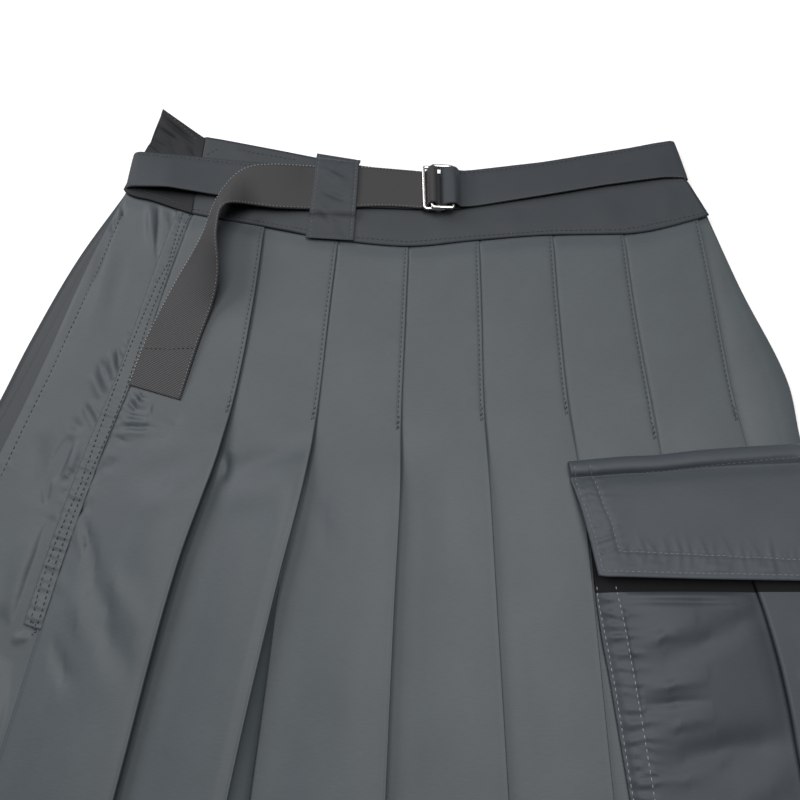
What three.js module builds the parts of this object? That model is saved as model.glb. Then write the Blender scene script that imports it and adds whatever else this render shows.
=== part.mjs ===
// A pleated cargo skirt laid flat on its back, seen from above.
// Millimetres. X runs to the right of the front, Y towards the waist, Z up from the surface it lies on.
// The tables are measured from the middle of the front waist seam. The whole skirt is then moved so that
// the origin lies under the middle of its flat underside.
import * as THREE from 'three';

// Driving dimensions
const SKIRT_LENGTH = 545;
const CLOTH = 1.0;
const BAND = 1.2;
const FLAP = 1.4;
const WEBBING = 1.0;
const GAP = 0.3;
const LAYER = CLOTH + GAP;
const UNDERSIDE_MIDDLE = { x: -25, y: -227 };

// Heights of the middle of each layer of the pleated front, from the back panel upwards
const BACK_Z = CLOTH / 2;
const LOW_Z = BACK_Z + LAYER;
const FOLD_Z = LOW_Z + LAYER;
const TOP_Z = FOLD_Z + LAYER;

// Distances down from the waist seam at which the cut lines below are given
const STATIONS = [0, 50, 110, 150, 205, 300, SKIRT_LENGTH];

// Each cut line or fold: its height at the waist seam, and its place across at each station
const LINES = {
  backEdge: { seamY: 37.8, x: [-168.5, -191.5, -212, -223.5, -244, -279, -362] },
  underFold: { seamY: 37, x: [-168, -185, -204.5, -217, -235, -268, -345] },
  leftEdge: { seamY: 36, x: [-167.5, -183, -197.8, -208.5, -225, -253, -322] },
  leftMiddle: { seamY: 27, x: [-150.5, -163, -175.5, -187, -201, -223, -281] },
  placket: { seamY: 21, x: [-125.5, -136.5, -148.5, -159, -171, -187.5, -234] },
  pleat1: { seamY: 11.8, x: [-81.3, -84.5, -92.2, -102.5, -117, -132.5, -172] },
  pleat2: { seamY: 2.4, x: [-37, -41, -45.7, -51.5, -64, -81, -114] },
  pleat3: { seamY: -1.8, x: [5, 2.9, 0.5, 0, -2.8, -7, -17] },
  pleat4: { seamY: 2.5, x: [47, 46.7, 46.1, 47.2, 48.2, 50, 55] },
  pleat5: { seamY: 6, x: [91.1, 91.1, 92.4, 95.6, 97, 98.6, 106] },
  pleat6: { seamY: 6.7, x: [133.6, 134.8, 138.2, 140.5, 144, 150, 166] },
  pleat7: { seamY: 17.2, x: [179.5, 181.6, 183.5, 187, 193, 204, 232] },
  rightSide: { seamY: 19.8, x: [186, 198.5, 216, 217.8, 231, 254, 312] },
};

// The seven knife pleats. At each station: how far the pleat folds back under itself, and how far its
// edge stands up.
const PLEATS = [
  { line: 'pleat1', back: [15, 15, 15, 14, 14, 16, 18], lift: [0, 0, 0.5, 3.6, 4.2, 3.4, 2.6] },
  { line: 'pleat2', back: [15, 15, 15, 8, -2.5, -11, -22], lift: [0, 0, 0.5, 3.8, 4.4, 3.8, 3.0] },
  { line: 'pleat3', back: [15, 15, 15, 14, 13, 12, 12], lift: [0, 0, 0.3, 2.0, 2.2, 2.4, 2.4] },
  { line: 'pleat4', back: [15, 15, 15, 15, 15, 15, 16], lift: [0, 0, 0.2, 1.2, 1.4, 1.5, 1.6] },
  { line: 'pleat5', back: [15, 15, 15, 15, 15, 15, 16], lift: [0, 0, 0.2, 0.5, 0.5, 0.8, 1.2] },
  { line: 'pleat6', back: [15, 15, 15, 15, 15, 15, 16], lift: [0, 0, 0, 0, 0, 0, 1.0] },
  { line: 'pleat7', back: [15, 15, 15, 15, 15, 15, 16], lift: [0, 0, 0, 0, 0, 0, 1.0] },
];

// Distances down from the waist seam at which the panels have a row of points
const ROWS = [0, 25, 50, 80, 110, 122, 136, 150, 168, 190, 205, 235, 265, 300, 345, 400, 470, SKIRT_LENGTH];

// The value of a smooth curve through the table (xs, ys) at x
function smooth(xs, ys, x) {
  const last = xs.length - 1;
  if (x <= xs[0]) return ys[0];
  if (x >= xs[last]) return ys[last];
  const k = xs.findIndex((value) => value > x) - 1;
  const slope = (i) => (ys[i + 1] - ys[i]) / (xs[i + 1] - xs[i]);
  const bend = (i) => (i === 0 ? slope(0) : i === last ? slope(last - 1) : (slope(i - 1) + slope(i)) / 2);
  const width = xs[k + 1] - xs[k];
  const t = (x - xs[k]) / width;
  const start = ys[k] * (1 + 2 * t) * (1 - t) ** 2 + bend(k) * width * t * (1 - t) ** 2;
  const end = ys[k + 1] * t * t * (3 - 2 * t) + bend(k + 1) * width * t * t * (t - 1);
  return start + end;
}

// The value at x of a curve through rows of [x, y] that rises and falls only where the rows do
function even(table, x) {
  const last = table.length - 1;
  if (x <= table[0][0]) return table[0][1];
  if (x >= table[last][0]) return table[last][1];
  const k = table.findIndex((row) => row[0] > x) - 1;
  const width = (i) => table[i + 1][0] - table[i][0];
  const slope = (i) => (table[i + 1][1] - table[i][1]) / width(i);
  const bend = (i) => {
    if (i === 0) return slope(0);
    if (i === last) return slope(last - 1);
    const before = slope(i - 1);
    const after = slope(i);
    if (before * after <= 0) return 0;
    const nearer = 2 * width(i) + width(i - 1);
    const further = width(i) + 2 * width(i - 1);
    return (nearer + further) / (nearer / before + further / after);
  };
  const t = (x - table[k][0]) / width(k);
  const start = table[k][1] * (1 + 2 * t) * (1 - t) ** 2 + bend(k) * width(k) * t * (1 - t) ** 2;
  const end = table[k + 1][1] * t * t * (3 - 2 * t) + bend(k + 1) * width(k) * t * t * (t - 1);
  return start + end;
}

// The value of a straight-sided curve through rows of [x, y] at x
function straight(table, x) {
  const k = Math.min(Math.max(table.findIndex((row) => row[0] > x), 1), table.length - 1);
  const after = x >= table[table.length - 1][0] ? table.length - 1 : k;
  const [x0, y0] = table[after - 1];
  const [x1, y1] = table[after];
  return y0 + (y1 - y0) * THREE.MathUtils.clamp((x - x0) / (x1 - x0), 0, 1);
}

// The point of a cut line at a distance down from the waist seam
function lineAt(name, down) {
  const line = LINES[name];
  const lean = (line.x[line.x.length - 1] - line.x[0]) / SKIRT_LENGTH;
  return { x: smooth(STATIONS, line.x, down), y: line.seamY - down * Math.sqrt(1 - lean * lean) };
}

// The height on the page of any point across the skirt, at a distance down from the waist seam
function rowY(x, down) {
  const table = Object.keys(LINES).map((name) => {
    const point = lineAt(name, down);
    return [point.x, point.y];
  });
  return even(table, x);
}

// A closed wall of one thickness round a grid of points. Rows run from waist to hem, points left to right.
// Each point moves half the thickness along the mean of its neighbours' normals, mitred where cloth folds.
function wall(grid, thickness) {
  const rowCount = grid.length;
  const count = grid[0].length;
  const faces = [[], []];
  for (let r = 0; r < rowCount; r += 1) {
    for (let i = 0; i < count; i += 1) {
      const above = grid[Math.max(r - 1, 0)][i];
      const below = grid[Math.min(r + 1, rowCount - 1)][i];
      const down = below.clone().sub(above).normalize();
      const normals = [i - 1, i]
        .filter((k) => k >= 0 && k < count - 1)
        .map((k) => grid[r][k + 1].clone().sub(grid[r][k]))
        .map((step) => down.clone().cross(step).normalize());
      const first = normals[0];
      const second = normals[normals.length - 1];
      const offset = first.clone().add(second).divideScalar(1 + first.dot(second));
      offset.multiplyScalar(thickness / 2);
      faces[0].push(grid[r][i].clone().add(offset));
      faces[1].push(grid[r][i].clone().sub(offset));
    }
  }
  const upper = (r, i) => r * count + i;
  const lower = (r, i) => rowCount * count + r * count + i;
  const index = [];
  const quad = (a, b, c, d) => index.push(a, b, c, a, c, d);
  for (let r = 0; r < rowCount - 1; r += 1) {
    for (let i = 0; i < count - 1; i += 1) {
      quad(upper(r, i), upper(r + 1, i), upper(r + 1, i + 1), upper(r, i + 1));
      quad(lower(r, i), lower(r, i + 1), lower(r + 1, i + 1), lower(r + 1, i));
    }
    quad(upper(r, 0), lower(r, 0), lower(r + 1, 0), upper(r + 1, 0));
    quad(upper(r, count - 1), upper(r + 1, count - 1), lower(r + 1, count - 1), lower(r, count - 1));
  }
  const last = rowCount - 1;
  for (let i = 0; i < count - 1; i += 1) {
    quad(upper(0, i), upper(0, i + 1), lower(0, i + 1), lower(0, i));
    quad(upper(last, i), lower(last, i), lower(last, i + 1), upper(last, i + 1));
  }
  const geometry = new THREE.BufferGeometry();
  const positions = [...faces[0], ...faces[1]].flatMap((point) => [point.x, point.y, point.z]);
  geometry.setAttribute('position', new THREE.Float32BufferAttribute(positions, 3));
  geometry.setIndex(index);
  geometry.computeVertexNormals();
  return geometry;
}

// Finishes of the pieces
const SATIN = { color: 0x4b5054, roughness: 0.55, metalness: 0 };
const DARK_SATIN = { color: 0x3a4047, roughness: 0.55, metalness: 0 };
const TAPE = { color: 0x3f3d3c, roughness: 0.8, metalness: 0 };
const NICKEL = { color: 0xc9c8c0, roughness: 0.2, metalness: 1 };

const skirt = new THREE.Group();

function piece(name, geometry, finish) {
  const mesh = new THREE.Mesh(geometry, new THREE.MeshStandardMaterial(finish));
  mesh.name = name;
  skirt.add(mesh);
  return mesh;
}

// A panel between two cut lines, flat but for the height given by a function of the share across and the row
function panelGrid(leftName, rightName, shares, heightAt, inset) {
  return ROWS.map((down, r) => {
    const left = lineAt(leftName, down).x + inset.left;
    const right = lineAt(rightName, down).x - inset.right;
    return shares.map((share) => {
      const x = left + (right - left) * share;
      const top = r === 0 ? inset.top : 0;
      return new THREE.Vector3(x, rowY(x, down) - top, heightAt(share, down));
    });
  });
}

// Back panel: one flat width of cloth that the whole skirt rests on, lapped under the back waistband
const BACK_LAP = 1.5;
function backPanel() {
  const shares = [0, 0.1, 0.25, 0.4, 0.55, 0.7, 0.85, 1];
  const inset = { left: 0, right: 0, top: -BACK_LAP };
  piece('back_panel', wall(panelGrid('backEdge', 'rightSide', shares, () => BACK_Z, inset), CLOTH), SATIN);
}

// Below the waist, the cloth reaches its full looseness at this distance down
const LOOSE_FROM = 110;

// The fold of cloth that shows between the back panel's left edge and the front left panel
const UNDER_PLEAT = { rise: 0.25, inset: 12 };
function leftUnderPleat() {
  const shares = [0, 0.3, 0.65, 1];
  const heights = (share, down) => {
    const rise = share === 0 ? 0 : UNDER_PLEAT.rise;
    return LOW_Z + rise * Math.min(down / LOOSE_FROM, 1);
  };
  const inset = { left: 0, right: UNDER_PLEAT.inset, top: GAP };
  piece('left_under_pleat', wall(panelGrid('underFold', 'leftMiddle', shares, heights, inset), CLOTH), SATIN);
}

// Front left panel: its free edge lies on the under pleat and it slopes down to the placket seam
const LEFT_PANEL = { rise: 0.35, swell: 0.5, swellFrom: 60, slopeFrom: 0.7 };
function frontLeftPanel() {
  const shares = [0, 0.04, 0.2, 0.45, 0.7, 0.88, 1];
  const heights = (share, down) => {
    const rise = LEFT_PANEL.rise * Math.min(down / LOOSE_FROM, 1);
    const swell = LEFT_PANEL.swell * Math.min(down / LEFT_PANEL.swellFrom, 1);
    const top = FOLD_Z + rise + swell * Math.sin(Math.PI * Math.min(share / LEFT_PANEL.slopeFrom, 1));
    const slope = Math.max((share - LEFT_PANEL.slopeFrom) / (1 - LEFT_PANEL.slopeFrom), 0);
    return THREE.MathUtils.lerp(top, LOW_Z, slope);
  };
  const inset = { left: 0, right: GAP / 2, top: GAP };
  piece('front_left_panel', wall(panelGrid('leftEdge', 'placket', shares, heights, inset), CLOTH), SATIN);
}

// Placket strip: a narrow facing stitched over the panel's edge beside the seam, down to the bartack
const PLACKET = { width: 9, end: 246, fromSeam: 0.6, slope: 0.11, clearance: 0.25 };
function placketStrip() {
  const rows = [...ROWS.filter((down) => down < PLACKET.end), PLACKET.end];
  const grid = rows.map((down, r) => {
    const seam = lineAt('placket', down);
    return [0, 0.5, 1].map((share) => {
      const fromEdge = PLACKET.width * (1 - share);
      const x = seam.x - PLACKET.fromSeam - fromEdge;
      const top = r === 0 ? GAP : 0;
      const z = LOW_Z + LAYER + PLACKET.clearance + PLACKET.slope * fromEdge;
      return new THREE.Vector3(x, rowY(x, down) - top, z);
    });
  });
  piece('placket_strip', wall(grid, CLOTH), SATIN);
}

// One row of the pleated front. Each panel climbs from under the last fold on to its own, then folds back
// under itself twice. The first starts level with the placket strip.
const FOLD_CLEARANCE = 1.6;
const HALFWAY_CLIMB = 0.58;
const EDGE_DIP = 0.12;
const RIGHT_PUFF = { height: 2.2, narrow: 8, growth: 30, sideInset: 1.2 };
function pleatedRow(down) {
  const row = [];
  let start = lineAt('placket', down).x + GAP / 2;
  row.push([start, FOLD_Z]);
  PLEATS.forEach((pleat, order) => {
    const edge = lineAt(pleat.line, down).x;
    const back = smooth(STATIONS, pleat.back, down);
    const lift = smooth(STATIONS, pleat.lift, down);
    const valley = edge - back;
    const crest = TOP_Z + lift;
    const flat = Math.min(edge, valley) - FOLD_CLEARANCE;
    const low = start + FOLD_CLEARANCE;
    row.push([low, order === 0 ? FOLD_Z : LOW_Z]);
    row.push([THREE.MathUtils.lerp(low, flat, 0.5), THREE.MathUtils.lerp(LOW_Z, crest, HALFWAY_CLIMB)]);
    row.push([flat, crest - EDGE_DIP * lift]);
    row.push([edge, crest]);
    row.push([edge, crest - LAYER]);
    row.push([valley, FOLD_Z]);
    row.push([valley, LOW_Z]);
    start = Math.max(edge, valley);
  });
  const side = lineAt('rightSide', down).x;
  const width = side - start;
  const room = THREE.MathUtils.clamp((width - RIGHT_PUFF.narrow) / RIGHT_PUFF.growth, 0, 1);
  const puff = RIGHT_PUFF.height * room;
  row.push([start + FOLD_CLEARANCE, LOW_Z]);
  row.push([start + 0.4 * width, LOW_Z + puff]);
  row.push([start + 0.8 * width, LOW_Z + 0.9 * puff]);
  row.push([side - RIGHT_PUFF.sideInset, LOW_Z + 0.4 * puff]);
  row.push([side, LOW_Z]);
  const top = down === 0 ? 2 * GAP : 0;
  return row.map(([x, z]) => new THREE.Vector3(x, rowY(x, down) - top, z));
}

function pleatedFront() {
  piece('front_pleated', wall(ROWS.map(pleatedRow), CLOTH), SATIN);
}

// Upper edge of the front waistband, and its lower edge, the waist seam
const BAND_TOP = [
  [-121.6, 76.4], [-111, 74.3], [-75, 66.2], [-52, 60.8], [-24, 54.8], [13, 49.6],
  [34, 48.6], [88, 55.4], [143, 65.4], [167, 70.8], [172, 71.2],
];
const SEAM = Object.values(LINES).map((line) => [line.x[0], line.seamY]);

// A stretch of waistband between two ends. An end is a table of [share of the way up, place across], and
// the profile one of [share of the way up, height].
function bandGrid(ends, profile, topDrop) {
  const columns = bandColumns(ends.left[0][1], ends.right[0][1]);
  return profile.map(([share, z]) => {
    const left = straight(ends.left, share);
    const right = straight(ends.right, share);
    return columns.map((across) => {
      const x = left + (right - left) * across;
      const low = even(SEAM, x);
      const high = straight(BAND_TOP, x) - topDrop;
      return new THREE.Vector3(x, low + (high - low) * share, z);
    });
  });
}

// Heights of the front band along its seam and under the belt
const BAND_BOTTOM_Z = 4.3;
const BAND_BELT_Z = 4.7;

// Shares across a band at the folds of the seam and halfway between them
function bandColumns(left, right) {
  const inside = SEAM.map(([x]) => x).filter((x) => x > left + 2 && x < right - 2);
  const marks = [left, ...inside, right];
  const halves = marks.slice(1).map((x, i) => (x + marks[i]) / 2);
  return [...marks, ...halves].sort((a, b) => a - b).map((x) => (x - left) / (right - left));
}

function waistbandFront() {
  const ends = {
    left: [[0, -125.2], [0.5, -123.4], [1, -121.6]],
    right: [[0, 184.9], [0.4, 177.4], [0.48, 172.8], [1, 168]],
  };
  const profile = [
    [1, BAND_BELT_Z], [0.72, BAND_BELT_Z], [0.48, BAND_BELT_Z], [0.4, BAND_BELT_Z], [0.2, BAND_BELT_Z],
    [0.08, BAND_BOTTOM_Z], [0, BAND_BOTTOM_Z],
  ];
  piece('waistband_front', wall(bandGrid(ends, profile, 0), BAND), DARK_SATIN);
}

// Left end of the waistband: its stiff corner stands up to a point beyond the belt
const STAND = { from: 0.66, curve: 1.3 };
function waistbandLeftEnd() {
  const bottomLeft = new THREE.Vector3(-165.2, 36.4, BAND_BOTTOM_Z);
  const corner = new THREE.Vector3(-148.2, 93.2, 10.5);
  const bottomRight = new THREE.Vector3(-125.5, 21.3, BAND_BOTTOM_Z);
  const shoulder = new THREE.Vector3(-121.9, 75.2, BAND_BELT_Z);
  const grid = [1, 0.82, STAND.from, 0.5, 0.2, 0].map((share) => {
    const left = bottomLeft.clone().lerp(corner, share);
    const right = bottomRight.clone().lerp(shoulder, share);
    const stand = Math.max(share - STAND.from, 0) / (1 - STAND.from);
    right.z = share > 0 ? BAND_BELT_Z : BAND_BOTTOM_Z;
    left.z = THREE.MathUtils.lerp(right.z, corner.z, stand);
    return [0, 0.2, 0.4, 0.6, 0.8, 1].map((across) => {
      const point = left.clone().lerp(right, across);
      const seamPoint = bottomLeft.clone().lerp(bottomRight, across);
      point.y += (1 - share) * (even(SEAM, seamPoint.x) - seamPoint.y);
      point.z = THREE.MathUtils.lerp(right.z, left.z, (1 - across) ** STAND.curve);
      return point;
    });
  });
  piece('waistband_left_end', wall(grid, BAND), DARK_SATIN);
}

// Back waistband: lapped over the top of the back panel, and raised over the belt
const BACK_BAND_DROP = 1.2;
function waistbandBack() {
  const ends = {
    left: [[0, -165.4], [0.5, -160.5], [1, -150]],
    right: [[0, 184.4], [0.4, 177.2], [0.48, 172.4], [1, 167.6]],
  };
  const profile = [[1, 3.2], [0.72, 3.2], [0.48, 3.2], [0.22, 3.2], [0.1, 1.9], [0, 1.9]];
  piece('waistband_back', wall(bandGrid(ends, profile, BACK_BAND_DROP), BAND), DARK_SATIN);
}

// Edges of the belt as it crosses the front
const BELT_TOP = [
  [-167, 60], [-164.7, 63.8], [-159.2, 64.6], [-141.6, 62.3], [-116.6, 59.6], [-93.6, 56.8], [-50, 52.8],
  [-24, 51.8], [13, 48.5], [37, 48.5], [44, 50.6], [88.1, 56.6], [142.7, 67.1], [167, 72.6], [172, 72.4],
];
const BELT_BOTTOM = [
  [-167, 38.3], [-124.1, 33.3], [-111.3, 31.7], [-50, 25.2], [-24, 23.9], [13, 22.5], [35, 22.5],
  [44, 24.2], [77.3, 29.8], [124, 38.9], [164.9, 45.4], [177, 45.2],
];

// A run of belt along stations of [place across at the top edge, at the bottom edge, height]. At the back
// it lies lower on the waistband, by a table of [place across, drop].
const BACK_DROP = [[-110, 0], [-50, 2], [13, 6], [44, 8], [88, 9], [126, 7], [142, 3], [165, 0]];
function beltGrid(stations, drops = [[0, 0], [1, 0]]) {
  return [0, 0.5, 1].map((share) =>
    stations.map(([topX, bottomX, z]) => {
      const x = topX + (bottomX - topX) * share;
      const high = straight(BELT_TOP, topX);
      const low = straight(BELT_BOTTOM, bottomX);
      return new THREE.Vector3(x, high + (low - high) * share - straight(drops, x), z);
    }),
  );
}

const BELT_Z = 6.1;
const BELT_BACK_Z = 1.8;

function beltRuns() {
  const left = [
    [-165.3, -167, 1.8], [-165.5, -167.2, 4.4], [-164, -165.4, 5.8], [-161, -162.4, BELT_Z],
    [-140, -140, BELT_Z], [-112, -112, BELT_Z], [-93, -93, BELT_Z], [-50, -50, BELT_Z],
    [-24, -24, BELT_Z], [13, 13, BELT_Z], [17, 17, BELT_Z],
  ];
  piece('belt_front_left', wall(beltGrid(left), WEBBING), DARK_SATIN);
  const right = [
    [36.5, 36.5, BELT_Z], [27.4, 27.4, BELT_Z], [25.3, 25.3, 7], [24.9, 24.9, 8.6],
    [25.6, 25.6, 10.4], [28, 28, 12.1], [31, 31, 12.9], [33.2, 33.2, 12.7],
    [34.6, 34.6, 11], [35.6, 35.6, 8.9], [39, 39, 7.6], [46, 46, BELT_Z],
    [88, 88, BELT_Z], [124, 124, BELT_Z], [143, 143, BELT_Z], [160, 162, BELT_Z],
    [168.6, 173.3, BELT_Z], [171, 175.9, 5.3], [171.5, 176.5, 4], [171.5, 176.5, 1.8],
  ];
  piece('belt_front_right', wall(beltGrid(right), WEBBING), DARK_SATIN);
  const back = [
    [-163.9, -165.6, BACK_Z], [-126, -126, BACK_Z], [-110, -110, BELT_BACK_Z], [-50, -50, BELT_BACK_Z],
    [13, 13, BELT_BACK_Z], [44, 44, BELT_BACK_Z], [88, 88, BELT_BACK_Z], [126, 126, BELT_BACK_Z],
    [142, 142, BACK_Z], [170.1, 175.1, BACK_Z],
  ];
  piece('belt_back', wall(beltGrid(back, BACK_DROP), WEBBING), DARK_SATIN);
}

// Free end of the belt, webbing side up: round the upper ring, under the lower ring, through the loop,
// then a standing curl and down over the placket. Columns: outer edge x, y, z, then inner edge x, y, z.
const FREE_END = [
  [19.2, 48.3, 7.2, 19.2, 22.6, 7.2],
  [21.2, 48.3, 7.8, 21.2, 22.6, 7.8],
  [22.2, 48.3, 9.6, 22.2, 22.6, 9.6],
  [22.1, 48.3, 12.2, 22.1, 22.6, 12.2],
  [21.0, 48.3, 13.8, 21.0, 22.6, 13.8],
  [19.2, 48.3, 14.1, 19.2, 22.6, 14.1],
  [17.6, 48.3, 12.8, 17.6, 22.6, 12.8],
  [16.9, 48.4, 10.5, 16.9, 22.6, 10.5],
  [16.6, 48.5, 8.6, 16.6, 22.6, 8.6],
  [15.7, 48.5, 7.5, 15.7, 22.6, 7.5],
  [14.4, 48.5, 7.4, 14.4, 22.6, 7.4],
  [12, 48.8, 7.4, 12, 22.3, 7.4],
  [-5.4, 50.6, 7.4, -5.4, 23.9, 7.4],
  [-24, 52.4, 7.4, -24, 23.4, 7.4],
  [-38, 52.2, 7.4, -38, 22.4, 7.4],
  [-53, 51.8, 8.4, -53, 21.6, 7.4],
  [-67, 50.6, 12.0, -66, 21.6, 8.4],
  [-80, 50.2, 13.0, -74, 21.4, 9.2],
  [-90.6, 49.6, 12.0, -87.6, 22.4, 11.0],
  [-98.2, 46.6, 10.0, -95.7, 18.6, 19.0],
  [-104.3, 39.6, 9.0, -100.7, 14.5, 24.5],
  [-109.1, 31.0, 8.6, -102.7, 8.4, 27.5],
  [-113.2, 18.8, 8.2, -103.1, -0.8, 28.5],
  [-115.7, 6.8, 7.6, -103.1, -10.2, 28.4],
  [-119.5, -3.3, 7.2, -101.8, -18.0, 26.4],
  [-123.9, -13.3, 6.8, -101.3, -23.6, 22.6],
  [-129.4, -25.2, 6.4, -102.5, -32.6, 16.4],
  [-136.9, -44.5, 6.2, -107.0, -45.1, 8.4],
  [-143.0, -61.4, 6.0, -112.0, -60.8, 7.2],
  [-146.6, -76, 6.0, -116.2, -80, 6.6],
  [-149.6, -90.4, 6.0, -120.2, -99.6, 6.4],
];

// Points across the free end: flat where it lies, hollowed a little towards its face where it stands
const CURL = { depth: 1.2, fullStand: 20 };
function beltFreeEnd() {
  const grid = [0, 0.5, 1].map((share) =>
    [...FREE_END].reverse().map(([ax, ay, az, bx, by, bz]) => {
      const outer = new THREE.Vector3(ax, ay, az);
      const inner = new THREE.Vector3(bx, by, bz);
      const stand = THREE.MathUtils.clamp((inner.z - outer.z) / CURL.fullStand, 0, 1);
      const point = outer.lerp(inner, share);
      point.x -= CURL.depth * stand * Math.sin(Math.PI * share);
      return point;
    }),
  );
  piece('belt_free_end', wall(grid, WEBBING), TAPE);
}

// A belt loop, from rows of [y at the left edge, y at the right edge, left edge, right edge, height]
function loopGrid(rows) {
  return rows.map(([yLeft, yRight, left, right, z]) =>
    [0, 0.5, 1].map((share) => {
      const x = left + (right - left) * share;
      return new THREE.Vector3(x, yLeft + (yRight - yLeft) * share, z);
    }),
  );
}

const FRONT_LOOP = [
  [63.1, 57.9, -51.4, -24.3, 5.9],
  [60.4, 55.3, -51.5, -24.5, 6.3],
  [57.3, 54.1, -51.6, -24.8, 9.0],
  [54.6, 52.4, -51.7, -25, 9.5],
  [40, 37.7, -52.1, -25.4, 9.4],
  [24.5, 22, -53.6, -26.2, 8.9],
  [20.4, 19, -54, -26.4, 8.4],
  [17.4, 16, -54.4, -26.6, 6.1],
  [10, 8.5, -55.2, -27, 5.7],
  [3.2, 1.3, -56, -27.4, 5.7],
];
function frontBeltLoop() {
  piece('belt_loop_front', wall(loopGrid(FRONT_LOOP), CLOTH), DARK_SATIN);
}

// The back loops: rows of [distance above the belt's top edge, height], then the end above the waist seam
const BACK_LOOP = { width: 28, fromSeam: BACK_LAP + 1 };
const BACK_LOOP_ROWS = [[3.8, BELT_BACK_Z], [2.6, BELT_BACK_Z], [1.3, BACK_Z], [-14, BACK_Z]];
const BACK_LOOP_MIDDLES = { belt_loop_back_left: -92, belt_loop_back_right: 108 };
function backBeltLoops() {
  Object.entries(BACK_LOOP_MIDDLES).forEach(([name, middle]) => {
    const sides = [middle - BACK_LOOP.width / 2, middle + BACK_LOOP.width / 2];
    const tops = sides.map((x) => straight(BELT_TOP, x) - straight(BACK_DROP, x));
    const ends = sides.map((x) => even(SEAM, x) + BACK_LOOP.fromSeam);
    const rows = BACK_LOOP_ROWS.map(([up, z]) => [tops[0] + up, tops[1] + up, ...sides, z]);
    rows.push([...ends, ...sides, BACK_Z]);
    piece(name, wall(loopGrid(rows), CLOTH), DARK_SATIN);
  });
}

// The two rectangular rings of the buckle, of square bar with rounded corners
const RING = { width: 14.4, height: 31, bar: 1.9, corner: 1.2, innerCorner: 0.6, bevel: 0.35 };
const RING_PLACES = {
  ring_lower: { x: 20.7, y: 35.8, z: 9.0, tilt: 0.085, turn: 0.02 },
  ring_upper: { x: 25.5, y: 35.2, z: 11.3, tilt: 0.085, turn: 0 },
};
function ringOutline(width, height, corner) {
  const outline = new THREE.Shape();
  const x = width / 2;
  const y = height / 2;
  outline.moveTo(x - corner, -y);
  outline.absarc(x - corner, -y + corner, corner, -Math.PI / 2, 0);
  outline.absarc(x - corner, y - corner, corner, 0, Math.PI / 2);
  outline.absarc(-x + corner, y - corner, corner, Math.PI / 2, Math.PI);
  outline.absarc(-x + corner, -y + corner, corner, Math.PI, 1.5 * Math.PI);
  outline.closePath();
  return outline;
}

function buckleRings() {
  const { width, height, bar, corner, innerCorner, bevel } = RING;
  const shape = ringOutline(width - 2 * bevel, height - 2 * bevel, corner - bevel);
  const wide = 2 * (bar - bevel);
  shape.holes.push(ringOutline(width - wide, height - wide, innerCorner));
  const settings = {
    depth: bar - 2 * bevel,
    bevelThickness: bevel,
    bevelSize: bevel,
    bevelSegments: 1,
    curveSegments: 3,
  };
  Object.entries(RING_PLACES).forEach(([name, place]) => {
    const geometry = new THREE.ExtrudeGeometry(shape, settings);
    geometry.translate(0, 0, -settings.depth / 2);
    const ring = piece(name, geometry, NICKEL);
    ring.rotation.set(0, place.tilt, place.turn);
    ring.position.set(place.x, place.y, place.z);
  });
}

// Pocket body: one width of cloth with a raised band down its middle, folded under at both sides of the band.
// Columns: place down, left edge, left fold of the band, right edge, heights of the edge, left part and band.
const POCKET = [
  [-158, 98.4, 174, 215, 3.5, 5.9, 8.3],
  [-186, 98.4, 176, 222, 3.5, 6, 8.4],
  [-197, 98.5, 177.4, 224.5, 3.5, 6.6, 8.5],
  [-203, 98.7, 178.8, 226, 3.5, 7.6, 8.7],
  [-212, 98.9, 180.6, 228, 3.5, 7.7, 9],
  [-226, 100, 182.6, 231.5, 3.5, 7.2, 9.4],
  [-240, 101.6, 184.1, 235, 3.5, 6.9, 9.6],
  [-262, 103.6, 185.4, 240, 3.5, 7.2, 9.6],
  [-296, 106.4, 186.2, 248, 3.6, 7.2, 9.4],
  [-328, 109.2, 187.6, 255, 4, 6.9, 9],
  [-343, 110.6, 188.4, 258.5, 4.2, 6.3, 8.6],
  [-348, 111.2, 188.6, 260, 4.2, 5.9, 8.3],
];
const POCKET_BAND = 40;
const POCKET_FOLD = 12;
const POCKET_Z = 5.75;

// The steps in from the pocket's left side at which it is sewn down, clear of the pleats, and swelling
const POCKET_SIDE = { sewn: 3, sewnRise: 1.4, clear: 8, clearZ: 6, swell: 16, swellZ: 6.2 };

function pocketBody() {
  const grid = POCKET.map(([y, left, fold, right, edge, mid, high]) => {
    const far = fold + POCKET_BAND;
    const under = POCKET_Z;
    const between = high - LAYER;
    const leftPart = [
      [left, edge],
      [left + POCKET_SIDE.sewn, edge + POCKET_SIDE.sewnRise],
      [left + POCKET_SIDE.clear, POCKET_SIDE.clearZ],
      [left + POCKET_SIDE.swell, (mid + POCKET_SIDE.swellZ) / 2],
      [THREE.MathUtils.lerp(left, fold, 0.45), mid],
      [THREE.MathUtils.lerp(left, fold, 0.72), mid - 0.3],
      [fold - 7, under + 0.2],
    ];
    const band = [
      [fold, under], [fold + POCKET_FOLD, under], [fold + POCKET_FOLD, under + LAYER],
      [fold, between], [fold, high], [fold + 0.5 * POCKET_BAND, high + 0.2], [far, high],
      [far, between], [far - POCKET_FOLD, under + LAYER], [far - POCKET_FOLD, under],
    ];
    const rightPart = [
      [Math.max(far - 1, right - 12), under + 0.1],
      [Math.max(far + 1, right - 4), under - 0.2],
      [right, 4.9],
    ];
    return [...leftPart, ...band, ...rightPart].map(([x, z]) => new THREE.Vector3(x, y, z));
  });
  piece('pocket_body', wall(grid, CLOTH), DARK_SATIN);
}

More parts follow.
